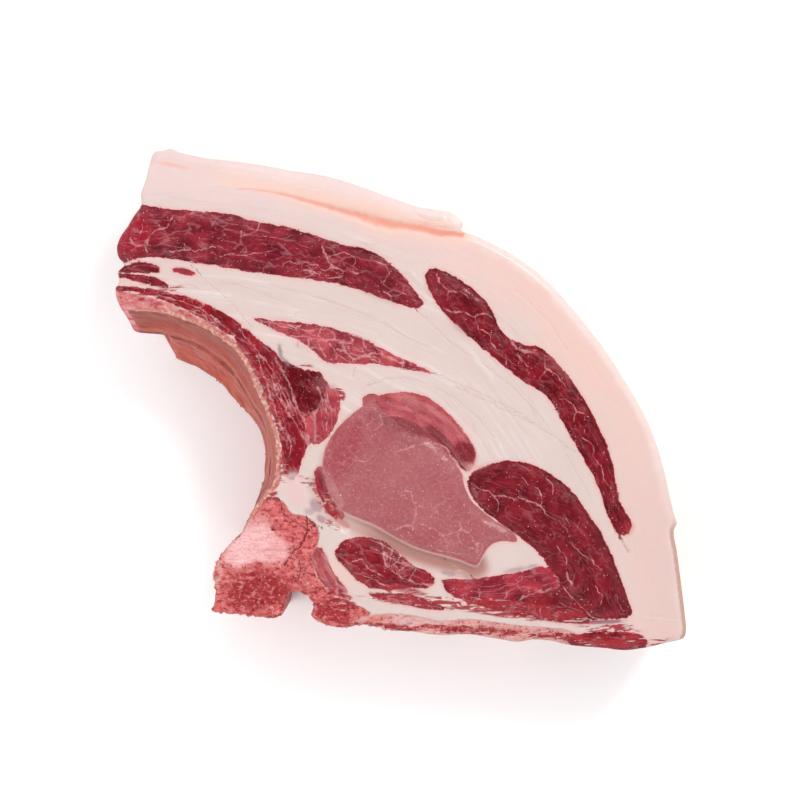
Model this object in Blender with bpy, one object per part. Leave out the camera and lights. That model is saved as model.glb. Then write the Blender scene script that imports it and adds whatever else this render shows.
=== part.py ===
"""Raw pork blade steak, bone in and skin on: a thick slab sawn across a side of pork.

The slab lies on its back face with the cut face up. Every muscle, bone and the fat between them
runs through the whole thickness and is a solid of its own. Lengths here are in millimetres, in
the plane of the cut face, and become metres when a mesh is made.
"""

import math

import bmesh
import bpy
import numpy as np
from mathutils import Vector, noise
from mathutils.geometry import delaunay_2d_cdt

# Driving dimensions
THICKNESS = 48.0  # along the spine, about two ribs
GAP = 0.3  # clearance between neighbouring solids
STEP = 4.5  # length of one side of an outline
RIM_DROP = 1.1  # the cut face falls away at the outer edge
SKIN_FLAP_DEPTH = 3.0  # slit between the loose skin flap and the fat below it

# The chest cavity hollows the lower left side. Its wall leans towards the cavity's middle with depth.
CAVITY = (-95.0, -25.0)
WALL_LEAN = (8.5, 18.0)  # beside the spine and at the belly end
LEAN_LEVELS = (-15.0, 25.0)  # heights on the face between which the lean grows
LEAN_FADE = (60.0, 125.0)  # distances from the cavity's middle between which it fades
SPINE_FADE = (-54.0, -27.0)  # the sawn spine stands upright below these heights
RIB_STEP = 12.0  # the second rib ends this much short of the first
RIB_STEP_DEPTH = (23.5, 25.5)
RIB_BULGE = 1.1  # each rib stands proud of the wall
RIB_PITCH = 25.0  # from rib to rib

OUTER_LAYERS = (0.0, 1.6, 12.0, 23.5, 25.5, 37.0, 48.0)
INNER_LAYERS = (0.0, 23.5, 48.0)
OUTER_REACH = 10.0  # walls that come this close to the side of the slab have the outer layers
SPLIT_WAY = np.array((1.0, 0.37))  # facing walls of two solids split their quads alike along this

# The whole cut face, clockwise from the top left corner of the skin.
FACE = (
    (-98.5, 99.4), (-95, 100), (-92, 100.8), (-88.5, 99.4), (-80, 97.3), (-68, 95.8), (-56, 94.2),
    (-44, 91.9), (-32, 90.1), (-21, 87.2), (-11, 83.7), (-2, 80.4), (7, 77.4), (14, 76.2),
    (20, 75.2), (23.4, 72.9), (25.2, 70.6), (24.4, 68.3), (31, 65.4), (41, 60.5), (51, 54.2),
    (60, 46.6), (68, 37.8), (76, 28), (83, 18.7), (90, 7.6), (95.4, -1.2), (99.4, -9.2),
    (102.6, -17.6), (105.2, -26), (107.4, -35.5), (109.6, -45), (110.9, -49.6), (109.7, -52.2),
    (111, -61), (112.6, -73), (114, -84.5), (114.7, -92), (113.8, -95.2), (106, -97.5),
    (97, -99.4), (90, -100.2), (80, -99.2), (68, -98.2), (60, -96.4), (53, -96), (47.5, -96.9),
    (38, -95.5), (27, -93.9), (16, -94.2), (5, -92.9), (-5, -92.2), (-13, -90.4), (-24, -91.2),
    (-31, -89.6), (-35.6, -86.2), (-34.2, -83), (-36.8, -78.9), (-40.2, -76.9), (-44.6, -77.6),
    (-46, -81), (-46.3, -84.6), (-48.6, -87), (-58, -86.8), (-68.5, -85.7), (-75.6, -84.7),
    (-74.4, -81.6), (-74, -77), (-74.6, -69), (-72.2, -62.5), (-69.6, -59.3),
    (-67.6, -57.2), (-63.6, -54), (-60.6, -48), (-57.6, -42.6), (-54, -38), (-51.4, -34.8),
    (-49.8, -30), (-49.3, -23.5), (-50.2, -15.5), (-52.2, -8.5), (-55, -1.5), (-57.6, 5),
    (-61, 12.4), (-65, 19), (-70.4, 24.2), (-77, 28.3), (-85, 32), (-93, 34.8), (-101, 36),
    (-107.5, 36.3), (-112, 37.4), (-113.7, 41), (-114, 44.9), (-112.6, 47.4), (-113.1, 51.2),
    (-110.4, 54.4), (-112.8, 57.2), (-113.5, 61), (-112, 65.4), (-109.2, 69.4), (-106.6, 73.8),
    (-103.8, 77.8), (-103.8, 82.6), (-101.9, 88.4), (-100.3, 95),
)

# Muscles on the cut face, each by the points that its outline needs. Those that reach the side of
# the slab run past it and are cut off there.
TOP_BAND = (
    (-125, 79), (-104, 77.8), (-92, 76.2), (-78, 75.2), (-68, 74.3), (-60, 71.9), (-48, 69.6),
    (-35, 66.2), (-22, 61.7), (-14, 60.3), (-6, 56.2), (1, 49.8), (6, 43.2), (9.2, 38.4),
    (7.2, 36.9), (-2, 38.9), (-14, 43.4), (-28, 47.1), (-46, 49.6), (-66, 52.4), (-86, 55.7),
    (-99, 57.3), (-108, 56.2), (-125, 55.4),
)
OUTER_BAND = (
    (10.2, 50), (12.6, 52.6), (18, 51.4), (26, 46.6), (32.6, 41.2), (37.4, 34.6), (39.4, 29.4),
    (43, 25), (49, 22.4), (55.6, 21), (61.4, 16.2), (67.6, 9), (73.6, 0), (79.4, -11), (83.4, -20),
    (85.9, -31), (88.6, -42), (92.6, -50), (91.2, -53.2), (88.2, -54.2), (84, -48.2), (81.2, -40),
    (78.4, -32.6), (72.4, -21.6), (65, -8.4), (58, 2.2), (50, 7.2), (42, 13.4), (33, 21),
    (23.6, 29.2), (16.6, 36.2), (12.2, 43.4),
)
MIDDLE_BAND = (
    (-59, 32.6), (-47, 31.3), (-35, 30.2), (-24, 27.7), (-14, 23.9), (-5, 19.4), (3, 15.4),
    (12.4, 11.2), (2, 12.7), (-8, 14.3), (-19, 14.6), (-30, 15.6), (-34, 19.2), (-40, 23.8),
    (-48, 27), (-54, 30.4),
)
FLANK_UPPER = (
    (-125, 54.2), (-110, 53.8), (-105.4, 55.1), (-100.6, 54.7), (-96.8, 53.3), (-95.8, 51.7),
    (-98, 50.9), (-105, 51), (-112, 51.5), (-125, 51.9),
)
FLANK_LOWER = (
    (-125, 51), (-110, 50.4), (-101.5, 49.7), (-96.4, 48.3), (-92.7, 46.2), (-92.6, 45),
    (-97, 45.4), (-104, 47.2), (-111, 48.9), (-125, 49.6),
)
ISLET = ((-91.4, 52.1), (-87.6, 52.8), (-83.6, 51.7), (-81.3, 50.3), (-85.4, 49.9), (-88.8, 50.9))
RIB_BAND = (
    (-125, 46.4), (-112, 45.8), (-102, 44.5), (-92, 42.9), (-82, 40.2), (-73.6, 36.5),
    (-67, 32.6), (-63.5, 29.6), (-64.6, 26.2), (-69.4, 26.7), (-77, 31.4), (-86, 36.3),
    (-96, 40.4), (-106, 43.2), (-125, 44.6),
)
INTERCOSTAL = (
    (-62.2, 28.6), (-58.4, 25.6), (-54, 21), (-50.4, 17.4), (-48.6, 13.4), (-47.2, 7.8),
    (-44.9, 1), (-42, -4), (-38.8, -7.4), (-38, -13), (-38.7, -19), (-40.4, -22), (-40.2, -28),
    (-43.4, -32.2), (-46.3, -29), (-47, -22), (-48.2, -14.6), (-50.4, -7), (-53.6, 1), (-57, 9),
    (-61.4, 16.6), (-65.6, 21.8), (-64.2, 25.2),
)
DEEP_LOBE = (
    (-46.6, 13.6), (-41, 13), (-36, 11.2), (-31.6, 10.7), (-30.6, 6.4), (-31.6, 0.6),
    (-35.4, -4.6), (-39.8, -4.4), (-43.2, 0.4), (-45.6, 6.6),
)
SMALL_LOBE = (
    (-28.2, 4.6), (-24.6, 3.4), (-23.9, -1), (-25.4, -8.4), (-28.6, -14.4), (-32.4, -17.2),
    (-35.8, -17.4), (-36.9, -12), (-36.6, -7.4), (-33.4, -5), (-30.4, -0.4),
)
LOIN_EYE = (
    (-31, -26), (-29.9, -19.6), (-26.4, -13), (-21, -7.2), (-14.8, -2.4), (-10.4, 0.2),
    (-8.8, -2.4), (-4.6, -6), (1, -10.4), (7.4, -14), (12.4, -15.6), (16.6, -18.9), (21, -23.8),
    (24.8, -29.4), (26, -35), (28.6, -40.2), (34, -45.2), (40, -49.6), (46.4, -54.2),
    (46.8, -56.6), (41, -56.5), (36.4, -58), (33.2, -62.2), (30.6, -66.3), (25, -64.4),
    (16, -61.8), (6, -58.8), (-2, -54.8), (-10, -50.3), (-18, -46.9), (-23.6, -44.2),
    (-27.4, -38.6), (-30.2, -32),
)
SPINALIS = (
    (-8.6, 1.2), (-3, 2.6), (4, 3), (11, 1), (17.6, -4), (23.6, -10.2), (28, -16), (30.2, -21.6),
    (28.6, -27.6), (26.2, -28.2), (22, -23), (17.4, -17.8), (12.8, -14.4), (7.8, -12.9),
    (1.8, -9.4), (-3.8, -4.9), (-7.8, -1.4),
)
SEMISPINALIS = (
    (27.2, -34), (28.6, -29.4), (34, -26.6), (42, -24.5), (50, -25), (58, -28.5), (65, -33),
    (70.4, -38.4), (75.8, -46.4), (81, -54.2), (85.2, -63.6), (89.4, -75), (92.4, -86), (84, -87.1),
    (77, -87), (70.6, -81.6), (66.2, -75.6), (63.6, -71.2), (59.6, -66.4), (55, -60.6),
    (47, -54), (38, -47.6), (31, -41.8),
)
SPLENIUS = (
    (16.4, -72.3), (22, -71.7), (32, -71.9), (42, -69.8), (52, -67.9), (57.8, -66.9), (62.4, -71.4),
    (63, -73.9), (56, -75.7), (46, -77.4), (36, -79.2), (27, -78), (20.4, -75.2),
)
LOWER_LOBE = (
    (37.8, -81.6), (45, -79.2), (54, -77.4), (63.6, -75.5), (68.6, -80.8), (74.4, -86.4),
    (75.8, -89.2), (68, -89.2), (57, -88), (46, -85.8),
)
MULTIFIDUS = (
    (-26.2, -61.4), (-23, -56.9), (-16, -54.9), (-8.6, -56), (-1.6, -60.4), (5, -66.3),
    (11, -68.6), (14, -72.2), (11.4, -74.9), (4, -75), (-4, -75.8), (-12, -75), (-18, -71),
    (-22.6, -66.2),
)
MULTIFIDUS_STRIP = (
    (-13, -77.2), (-5, -77.3), (4, -78), (12, -80.6), (18, -83.4), (13, -84), (4, -82.2), (-6, -80.2),
)
NUCHAL_STRIP = (
    (66, -95.6), (74, -93.4), (84, -92.6), (93, -93.2), (98.4, -95.6), (98.6, -98.6), (95, -104),
    (80, -104), (68, -97.6),
)
ROTATOR = (
    (-35.2, -62), (-32.6, -58.6), (-29.8, -62), (-27.2, -68.2), (-22.4, -74.4), (-20.6, -78.4),
    (-24.6, -78.8), (-30, -74.6), (-34, -68),
)
LEVATOR = (
    (-34, -31.4), (-32.2, -30.6), (-30.6, -36), (-27.8, -41.4), (-24.6, -45.6), (-25.6, -48),
    (-29, -44.8), (-32.2, -38.6),
)
RIB = (
    (-125, 44.4), (-112, 43.4), (-102, 41.4), (-92, 38.2), (-83, 34.2), (-75, 29.9), (-68.4, 25.4),
    (-63, 19), (-58.8, 11.6), (-55.2, 4), (-52.2, -4), (-49.8, -12), (-48.2, -20), (-47.8, -27),
    (-49, -35), (-60, -36), (-62, -16), (-72, 8), (-92, 24), (-125, 28),
)
FEATHER_BONE = (
    (-20, -89), (-12, -86.6), (-4, -85.4), (6, -86.4), (16, -88.4), (26, -87.6), (38, -88.8),
    (50, -90.4), (62, -91.4), (70, -93.4), (70, -102), (40, -102), (0, -100), (-18, -96),
)
CHINE_BONE = (
    (-66, -44), (-58, -41.2), (-51.8, -38.6), (-46.8, -40.6), (-43.6, -45), (-37.4, -46.8),
    (-33, -51), (-32.6, -56.4), (-35.2, -62), (-34.6, -68), (-30.8, -74.4), (-25, -79.4),
    (-16, -82.6), (-11.6, -85.6), (-20, -88.6), (-22, -100), (-90, -100), (-90, -44),
)

# Colours of the cut materials, as linear red, green and blue, then roughness
DARK_LEAN = ((0.20, 0.012, 0.022), 0.38)
PALE_LEAN = ((0.40, 0.105, 0.115), 0.38)
FAT = ((0.78, 0.62, 0.56), 0.42)
BONE = ((0.56, 0.19, 0.17), 0.55)

# node name: outline, colour, rise of the middle over its edge, spacing of the points on its face.
# A node yields to those above it where their outlines cross.
NODES = {
    "top_band": (TOP_BAND, DARK_LEAN, 0.9, 9.0),
    "outer_band": (OUTER_BAND, DARK_LEAN, 0.8, 8.0),
    "middle_band": (MIDDLE_BAND, DARK_LEAN, 0.6, 8.0),
    "flank_strip_upper": (FLANK_UPPER, DARK_LEAN, 0.4, 6.0),
    "flank_strip_lower": (FLANK_LOWER, DARK_LEAN, 0.4, 6.0),
    "flank_islet": (ISLET, DARK_LEAN, 0.3, 5.0),
    "rib_band": (RIB_BAND, DARK_LEAN, 0.5, 7.0),
    "intercostal": (INTERCOSTAL, DARK_LEAN, 0.5, 7.0),
    "deep_lobe": (DEEP_LOBE, DARK_LEAN, -0.8, 6.0),
    "small_lobe": (SMALL_LOBE, DARK_LEAN, 0.4, 6.0),
    "spinalis": (SPINALIS, DARK_LEAN, 0.7, 7.0),
    "loin_eye": (LOIN_EYE, PALE_LEAN, 1.4, 8.0),
    "semispinalis": (SEMISPINALIS, DARK_LEAN, 1.0, 8.0),
    "splenius": (SPLENIUS, DARK_LEAN, 0.6, 8.0),
    "lower_lobe": (LOWER_LOBE, DARK_LEAN, 0.5, 7.0),
    "multifidus": (MULTIFIDUS, DARK_LEAN, 0.6, 7.0),
    "multifidus_strip": (MULTIFIDUS_STRIP, DARK_LEAN, 0.3, 6.0),
    "nuchal_strip": (NUCHAL_STRIP, DARK_LEAN, 0.4, 6.0),
    "rotator": (ROTATOR, DARK_LEAN, 0.4, 6.0),
    "levator": (LEVATOR, DARK_LEAN, 0.3, 6.0),
    "rib": (RIB, BONE, -0.3, 6.0),
    "feather_bone": (FEATHER_BONE, BONE, -0.3, 6.0),
    "chine_bone": (CHINE_BONE, BONE, -0.4, 5.0),
}
FAT_NODE = "fat_and_skin"
FAT_SPACING = 10.0
DOME_WIDTH = 7.0  # a face reaches its full rise this far inside its edge
BONE_ROUGHNESS = 0.7
BONE_GRAIN = 5.0

# The slit under the loose skin flap, from the left end to the flap's tip
FLAP_SLIT = ((-66, 85), (-50, 83.6), (-34, 79.8), (-18, 75.2), (-6, 71.6), (8, 69), (16, 66.4), (24.6, 66.2))
SLIT_WIDTH = 1.6


def clear_scene():
    for obj in list(bpy.data.objects):
        bpy.data.objects.remove(obj, do_unlink=True)


def smooth(value, low, high):
    """0 below low, 1 above high, and an even rise between."""
    t = np.clip((value - low) / (high - low), 0, 1)
    return t * t * (3 - 2 * t)


def closed_curve(points, step):
    """A smooth closed curve through the points, in sides of about one step."""
    p = np.array(points, float)
    before, after, next_after = np.roll(p, 1, 0), np.roll(p, -1, 0), np.roll(p, -2, 0)
    found = []
    for a, b, c, d in zip(before, p, after, next_after, strict=True):
        ab, bc, cd = (math.sqrt(np.linalg.norm(v)) for v in (b - a, c - b, d - c))
        leave = ((b - a) / ab - (c - a) / (ab + bc) + (c - b) / bc) * bc
        arrive = ((c - b) / bc - (d - b) / (bc + cd) + (d - c) / cd) * bc
        sides = max(1, round(np.linalg.norm(c - b) / step))
        for t in np.arange(sides) / sides:
            found.append(
                (2 * t**3 - 3 * t**2 + 1) * b
                + (t**3 - 2 * t**2 + t) * leave
                + (3 * t**2 - 2 * t**3) * c
                + (t**3 - t**2) * arrive
            )
    return np.array(found)


def turns_left(polygon):
    x, y = polygon.T
    return (x * np.roll(y, -1) - np.roll(x, -1) * y).sum() > 0


def grown(polygon, by):
    """The polygon with its sides moved outwards; sharp corners are moved at most three times as far."""
    ways = np.roll(polygon, -1, 0) - polygon
    ways /= np.linalg.norm(ways, axis=1)[:, None]
    normals = np.column_stack([ways[:, 1], -ways[:, 0]]) * (1 if turns_left(polygon) else -1)
    corners = normals + np.roll(normals, 1, 0)
    corners /= np.linalg.norm(corners, axis=1)[:, None]
    lengths = by / np.maximum((corners * normals).sum(1), 1 / 3)
    return polygon + corners * lengths[:, None]


def inside(points, polygon):
    x, y = points[:, :1], points[:, 1:]
    x0, y0 = polygon.T
    x1, y1 = np.roll(polygon, -1, 0).T
    spans = (y0 > y) != (y1 > y)
    rise = np.where(y1 == y0, 1, y1 - y0)
    crossed = spans & (x < (x1 - x0) * (y - y0) / rise + x0)
    return crossed.sum(1) % 2 == 1


def distance(points, line, closed=True):
    """From each point to the nearest side of the line."""
    starts = line if closed else line[:-1]
    ends = np.roll(line, -1, 0) if closed else line[1:]
    ways = ends - starts
    squares = np.maximum((ways**2).sum(1), 1e-9)
    along = np.clip(((points[:, None] - starts) * ways).sum(2) / squares, 0, 1)
    nearest = starts + along[..., None] * ways
    return np.linalg.norm(points[:, None] - nearest, axis=2).min(1)


def leaned(points, depth):
    """Where points of the cut face lie at this depth below it."""
    x, y = points.T
    share = depth / THICKNESS
    to_middle = np.array(CAVITY) - points
    away = np.linalg.norm(to_middle, axis=1)
    lean = WALL_LEAN[0] + (WALL_LEAN[1] - WALL_LEAN[0]) * smooth(y, *LEAN_LEVELS)
    held = smooth(y, *SPINE_FADE) * (1 - smooth(away, *LEAN_FADE))
    bulge = RIB_BULGE * (math.cos(2 * math.pi * depth / RIB_PITCH) - 1) / 2
    bulge *= 1 - smooth(away, LEAN_FADE[0] - 4, LEAN_FADE[0] + 12)
    moved = points + to_middle / away[:, None] * ((lean * share + bulge) * held)[:, None]
    shorter = RIB_STEP * smooth(depth, *RIB_STEP_DEPTH) * smooth(-x, 92, 117) * (1 - smooth(y, 40, 58))
    moved[:, 0] += shorter
    return moved


def uneven(points, size, seed):
    """Noise between about -1 and 1 with bumps of this size."""
    return np.array([noise.noise(Vector((x / size, y / size, seed))) for x, y in points]) * 1.6


def face_height(points, outline, rise, rough, face):
    """Height of the cut face at these points of one node."""
    height = THICKNESS + rise * smooth(distance(points, outline), 0, DOME_WIDTH)
    height += 0.5 * uneven(points, 45, 3.0)
    if rough:
        height += BONE_ROUGHNESS * uneven(points, BONE_GRAIN, 8.0)
    height -= RIM_DROP * (1 - smooth(distance(points, face), 0, 3.0))
    return height


def slit_depth(points):
    slit = np.array(FLAP_SLIT, float)
    near = 1 - smooth(distance(points, slit, closed=False), 0, SLIT_WIDTH)
    return SKIN_FLAP_DEPTH * near * smooth(points[:, 0], -66, 10)


def hexagonal_grid(polygon, spacing):
    low, high = polygon.min(0), polygon.max(0)
    rows = np.arange(low[1], high[1], spacing * math.sqrt(0.75))
    columns = np.arange(low[0], high[0], spacing)
    found = [(x + (i % 2) * spacing / 2, y) for i, y in enumerate(rows) for x in columns]
    return np.array(found).reshape(-1, 2)


def triangulate(loops, loose):
    """Triangles over these closed loops, which they keep as edges, and these loose points."""
    points, edges = [], []
    for loop in loops:
        first = len(points)
        points += [Vector(p) for p in loop]
        edges += [(first + i, first + (i + 1) % len(loop)) for i in range(len(loop))]
    points += [Vector(p) for p in loose]
    corners, _, triangles, *_ = delaunay_2d_cdt(points, edges, [], 0, 1e-3)
    return np.array([tuple(c) for c in corners]), np.array(triangles)


def largest_part(triangles):
    """The largest set of triangles joined along edges."""
    owner = {}
    parent = list(range(len(triangles)))

    def root(i):
        while parent[i] != i:
            parent[i] = parent[parent[i]]
            i = parent[i]
        return i

    for i, corners in enumerate(triangles):
        for a, b in zip(corners, np.roll(corners, -1), strict=True):
            other = owner.setdefault((min(a, b), max(a, b)), i)
            parent[root(i)] = root(other)
    roots = np.array([root(i) for i in range(len(triangles))])
    names, counts = np.unique(roots, return_counts=True)
    return triangles[roots == names[counts.argmax()]]


def region(outline, face, others, spacing):
    """(points, triangles) of the part of the face inside the outline and clear of the others."""
    low, high = outline.min(0) - 1, outline.max(0) + 1
    near = [o for o in others if (o.min(0) < high).all() and (o.max(0) > low).all()]
    loops = [outline, *near] if outline is face else [outline, face, *near]
    grid = hexagonal_grid(outline, spacing)
    grid = grid[inside(grid, outline) & inside(grid, face)]
    for loop in loops:
        grid = grid[distance(grid, loop) > 0.55 * spacing]
    for other in near:
        grid = grid[~inside(grid, other)]
    points, triangles = triangulate(loops, grid)
    middles = points[triangles].mean(1)
    kept = inside(middles, outline) & inside(middles, face)
    for other in near:
        kept &= ~inside(middles, other)
    triangles = largest_part(triangles[kept])
    used, index = np.unique(triangles, return_inverse=True)
    return points[used], index.reshape(-1, 3)


def edge_loops(triangles):
    """Each boundary of the triangles as a list of points in order, with the triangles on its left."""
    ahead = {}
    for corners in triangles:
        for a, b in zip(corners, np.roll(corners, -1), strict=True):
            ahead[(a, b)] = None
    after = {a: b for a, b in ahead if (b, a) not in ahead}
    loops = []
    while after:
        start, point = after.popitem()
        loop = [start]
        while point != start:
            loop.append(point)
            point = after.pop(point)
        loops.append(loop)
    return loops


def build_solid(name, points, triangles, heights, face, material):
    """The region as a closed solid through the whole thickness, leaning with depth."""
    a, b, c = points[triangles].transpose(1, 0, 2)
    turned = (b[:, 0] - a[:, 0]) * (c[:, 1] - a[:, 1]) - (b[:, 1] - a[:, 1]) * (c[:, 0] - a[:, 0])
    triangles = np.where((turned > 0)[:, None], triangles, triangles[:, ::-1])
    mesh = bmesh.new()
    top = [mesh.verts.new((*p, h)) for p, h in zip(points, heights, strict=True)]
    bottom = [mesh.verts.new((*p, 0)) for p in leaned(points, THICKNESS)]
    for i, j, k in triangles:
        mesh.faces.new((top[i], top[j], top[k]))
        mesh.faces.new((bottom[k], bottom[j], bottom[i]))
    for loop in edge_loops(triangles):
        around = points[loop]
        outer = distance(around, face).min() < OUTER_REACH
        above = [top[i] for i in loop]
        for depth in (OUTER_LAYERS if outer else INNER_LAYERS)[1:]:
            if depth < THICKNESS:
                below = [mesh.verts.new((*p, THICKNESS - depth)) for p in leaned(around, depth)]
            else:
                below = [bottom[i] for i in loop]
            for n in range(len(loop)):
                m = (n + 1) % len(loop)
                if around[n] @ SPLIT_WAY < around[m] @ SPLIT_WAY:
                    mesh.faces.new((above[n], below[n], below[m]))
                    mesh.faces.new((above[n], below[m], above[m]))
                else:
                    mesh.faces.new((above[n], below[n], above[m]))
                    mesh.faces.new((below[n], below[m], above[m]))
            above = below
    mesh.normal_update()
    data = bpy.data.meshes.new(name)
    mesh.to_mesh(data)
    mesh.free()
    data.materials.append(material)
    data.shade_smooth()
    data.set_sharp_from_angle(angle=math.radians(50))
    obj = bpy.data.objects.new(name, data)
    bpy.context.scene.collection.objects.link(obj)
    return obj


def make_material(name, colour, roughness):
    material = bpy.data.materials.new(name)
    material.use_nodes = True
    shader = material.node_tree.nodes["Principled BSDF"]
    shader.inputs["Base Color"].default_value = (*colour, 1)
    shader.inputs["Roughness"].default_value = roughness
    shader.inputs["Metallic"].default_value = 0
    return material


def build_lean_and_bone(face):
    """Every muscle and bone, and the grown outlines that the fat leaves clear."""
    objects, taken = [], []
    for name, (outline, (colour, roughness), rise, spacing) in NODES.items():
        outline = closed_curve(outline, STEP)
        points, triangles = region(outline, face, taken, spacing)
        rough = (colour, roughness) == BONE
        heights = face_height(points, outline, rise, rough, face)
        material = make_material(name, colour, roughness)
        objects.append(build_solid(name, points, triangles, heights, face, material))
        taken.append(grown(outline, GAP))
    return objects, taken


def build_fat(face, taken):
    points, triangles = region(face, face, taken, FAT_SPACING)
    heights = face_height(points, face, 0, False, face) - slit_depth(points)
    return build_solid(FAT_NODE, points, triangles, heights, face, make_material(FAT_NODE, *FAT))


def set_in_frame(objects):
    """Millimetres become metres, with the origin under the middle of the steak's box."""
    corners = np.array([v.co for obj in objects for v in obj.data.vertices])
    middle = (corners.min(0) + corners.max(0)) / 2
    for obj in objects:
        for vertex in obj.data.vertices:
            x, y, z = vertex.co
            vertex.co = ((x - middle[0]) / 1000, (y - middle[1]) / 1000, z / 1000)


def main():
    clear_scene()
    face = closed_curve(FACE, STEP)
    objects, taken = build_lean_and_bone(face)
    objects.append(build_fat(face, taken))
    set_in_frame(objects)


main()
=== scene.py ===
import math

import bpy
import numpy as np
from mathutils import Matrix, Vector, noise
from mathutils.geometry import delaunay_2d_cdt


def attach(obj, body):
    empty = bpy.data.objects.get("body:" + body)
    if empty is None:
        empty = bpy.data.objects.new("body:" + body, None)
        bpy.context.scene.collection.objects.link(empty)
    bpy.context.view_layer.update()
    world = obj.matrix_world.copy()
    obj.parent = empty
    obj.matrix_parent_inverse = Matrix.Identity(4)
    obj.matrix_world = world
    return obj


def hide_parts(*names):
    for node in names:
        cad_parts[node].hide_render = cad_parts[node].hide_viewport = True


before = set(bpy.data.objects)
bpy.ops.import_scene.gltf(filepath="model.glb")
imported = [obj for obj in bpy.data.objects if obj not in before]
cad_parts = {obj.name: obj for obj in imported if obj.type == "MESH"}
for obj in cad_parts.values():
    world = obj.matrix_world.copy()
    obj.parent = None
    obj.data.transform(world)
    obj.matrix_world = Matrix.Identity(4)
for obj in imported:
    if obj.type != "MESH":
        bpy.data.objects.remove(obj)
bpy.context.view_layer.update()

# Lengths are in millimetres in the plane of the cut face, as in the CAD, until the mesh is made.
THICKNESS = 48.0
TO_MODEL = np.array((-0.35, -0.3))  # from these coordinates to the model's
GRID = 0.86  # spacing of the points of the cut face
RIM_STEP = 0.95  # and along its edge
BACK_GRID = 2.6
NODE_STEP = 1.2  # along the CAD's outlines
CUT_FACE_ABOVE = 0.03  # faces of the CAD that look up from above this are the cut face, in metres
# The rings of the sides: closer near the cut face and at the step between the ribs
WALL_DEPTHS = (
    0, 0.5, 1.1, 2, 3.2, 4.8, 6.8, 9, 11.4, 13.8, 16.2, 18.6, 21, 22.8, 23.6, 24.3, 25, 26, 28,
    30.6, 33.2, 35.8, 38.4, 41, 43.4, 45.4, 47,
)
BESIDE = 1.5  # how far inside the outline the sides take their looks from
SWAY = 5.0  # and how far along it they sway with the depth
SPINE_SWAY = 1.2
BASE_EDGE = 0.5  # how far the back face's edge is drawn in

# The chest cavity's lean, rib step and rib bulges, as in the CAD
CAVITY = (-95.0, -25.0)
WALL_LEAN = (8.5, 18.0)
LEAN_LEVELS = (-15.0, 25.0)
LEAN_FADE = (60.0, 125.0)
SPINE_FADE = (-54.0, -27.0)
RIB_STEP = 12.0
RIB_STEP_DEPTH = (23.5, 25.5)
RIB_STEP_LEFT = (92, 117)
RIB_STEP_TOP = (40, 58)
RIB_BULGE = 1.1
BULGE_FADE = (56.0, 72.0)
RIB_PITCH = 25.0

# The cut face's outline, as in the CAD
FACE = (
    (-98.5, 99.4), (-95, 100), (-92, 100.8), (-88.5, 99.4), (-80, 97.3), (-68, 95.8), (-56, 94.2),
    (-44, 91.9), (-32, 90.1), (-21, 87.2), (-11, 83.7), (-2, 80.4), (7, 77.4), (14, 76.2),
    (20, 75.2), (23.4, 72.9), (25.2, 70.6), (24.4, 68.3), (31, 65.4), (41, 60.5), (51, 54.2),
    (60, 46.6), (68, 37.8), (76, 28), (83, 18.7), (90, 7.6), (95.4, -1.2), (99.4, -9.2),
    (102.6, -17.6), (105.2, -26), (107.4, -35.5), (109.6, -45), (110.9, -49.6), (109.7, -52.2),
    (111, -61), (112.6, -73), (114, -84.5), (114.7, -92), (113.8, -95.2), (106, -97.5),
    (97, -99.4), (90, -100.2), (80, -99.2), (68, -98.2), (60, -96.4), (53, -96), (47.5, -96.9),
    (38, -95.5), (27, -93.9), (16, -94.2), (5, -92.9), (-5, -92.2), (-13, -90.4), (-24, -91.2),
    (-31, -89.6), (-35.6, -86.2), (-34.2, -83), (-36.8, -78.9), (-40.2, -76.9), (-44.6, -77.6),
    (-46, -81), (-46.3, -84.6), (-48.6, -87), (-58, -86.8), (-68.5, -85.7), (-75.6, -84.7),
    (-74.4, -81.6), (-74, -77), (-74.6, -69), (-72.2, -62.5), (-69.6, -59.3),
    (-67.6, -57.2), (-63.6, -54), (-60.6, -48), (-57.6, -42.6), (-54, -38), (-51.4, -34.8),
    (-49.8, -30), (-49.3, -23.5), (-50.2, -15.5), (-52.2, -8.5), (-55, -1.5), (-57.6, 5),
    (-61, 12.4), (-65, 19), (-70.4, 24.2), (-77, 28.3), (-85, 32), (-93, 34.8), (-101, 36),
    (-107.5, 36.3), (-112, 37.4), (-113.7, 41), (-114, 44.9), (-112.6, 47.4), (-113.1, 51.2),
    (-110.4, 54.4), (-112.8, 57.2), (-113.5, 61), (-112, 65.4), (-109.2, 69.4), (-106.6, 73.8),
    (-103.8, 77.8), (-103.8, 82.6), (-101.9, 88.4), (-100.3, 95),
)
# The outline's zones, clockwise: the skin, the sawn spine, the chest wall and the cut belly end
SKIN, SPINE, CHEST = range(3)
ZONE_ENDS = ((113.8, -95.2), (-67.6, -57.2), (-109.5, 36.6))  # of the first three
ZONE_MATERIALS = (1, 0, 2, 0)  # 0 is the cut face's own, 1 the skin's and 2 the chest wall's
ZONE_RELIEF = (0.35, 0.25, 0.5, 0.5)  # height of the broad bumps in the sides

# Nodes by the channel that holds the distance to their edges. Neighbours are in different ones.
CHANNELS = (
    ("top_band", "spinalis", "splenius", "intercostal", "small_lobe", "multifidus_strip",
     "flank_strip_upper", "nuchal_strip"),
    ("semispinalis", "rib_band", "deep_lobe", "multifidus", "flank_islet", "outer_band"),
    ("lower_lobe", "middle_band", "flank_strip_lower", "rotator", "levator"),
)
BONES = ("chine_bone", "feather_bone", "rib")
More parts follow.
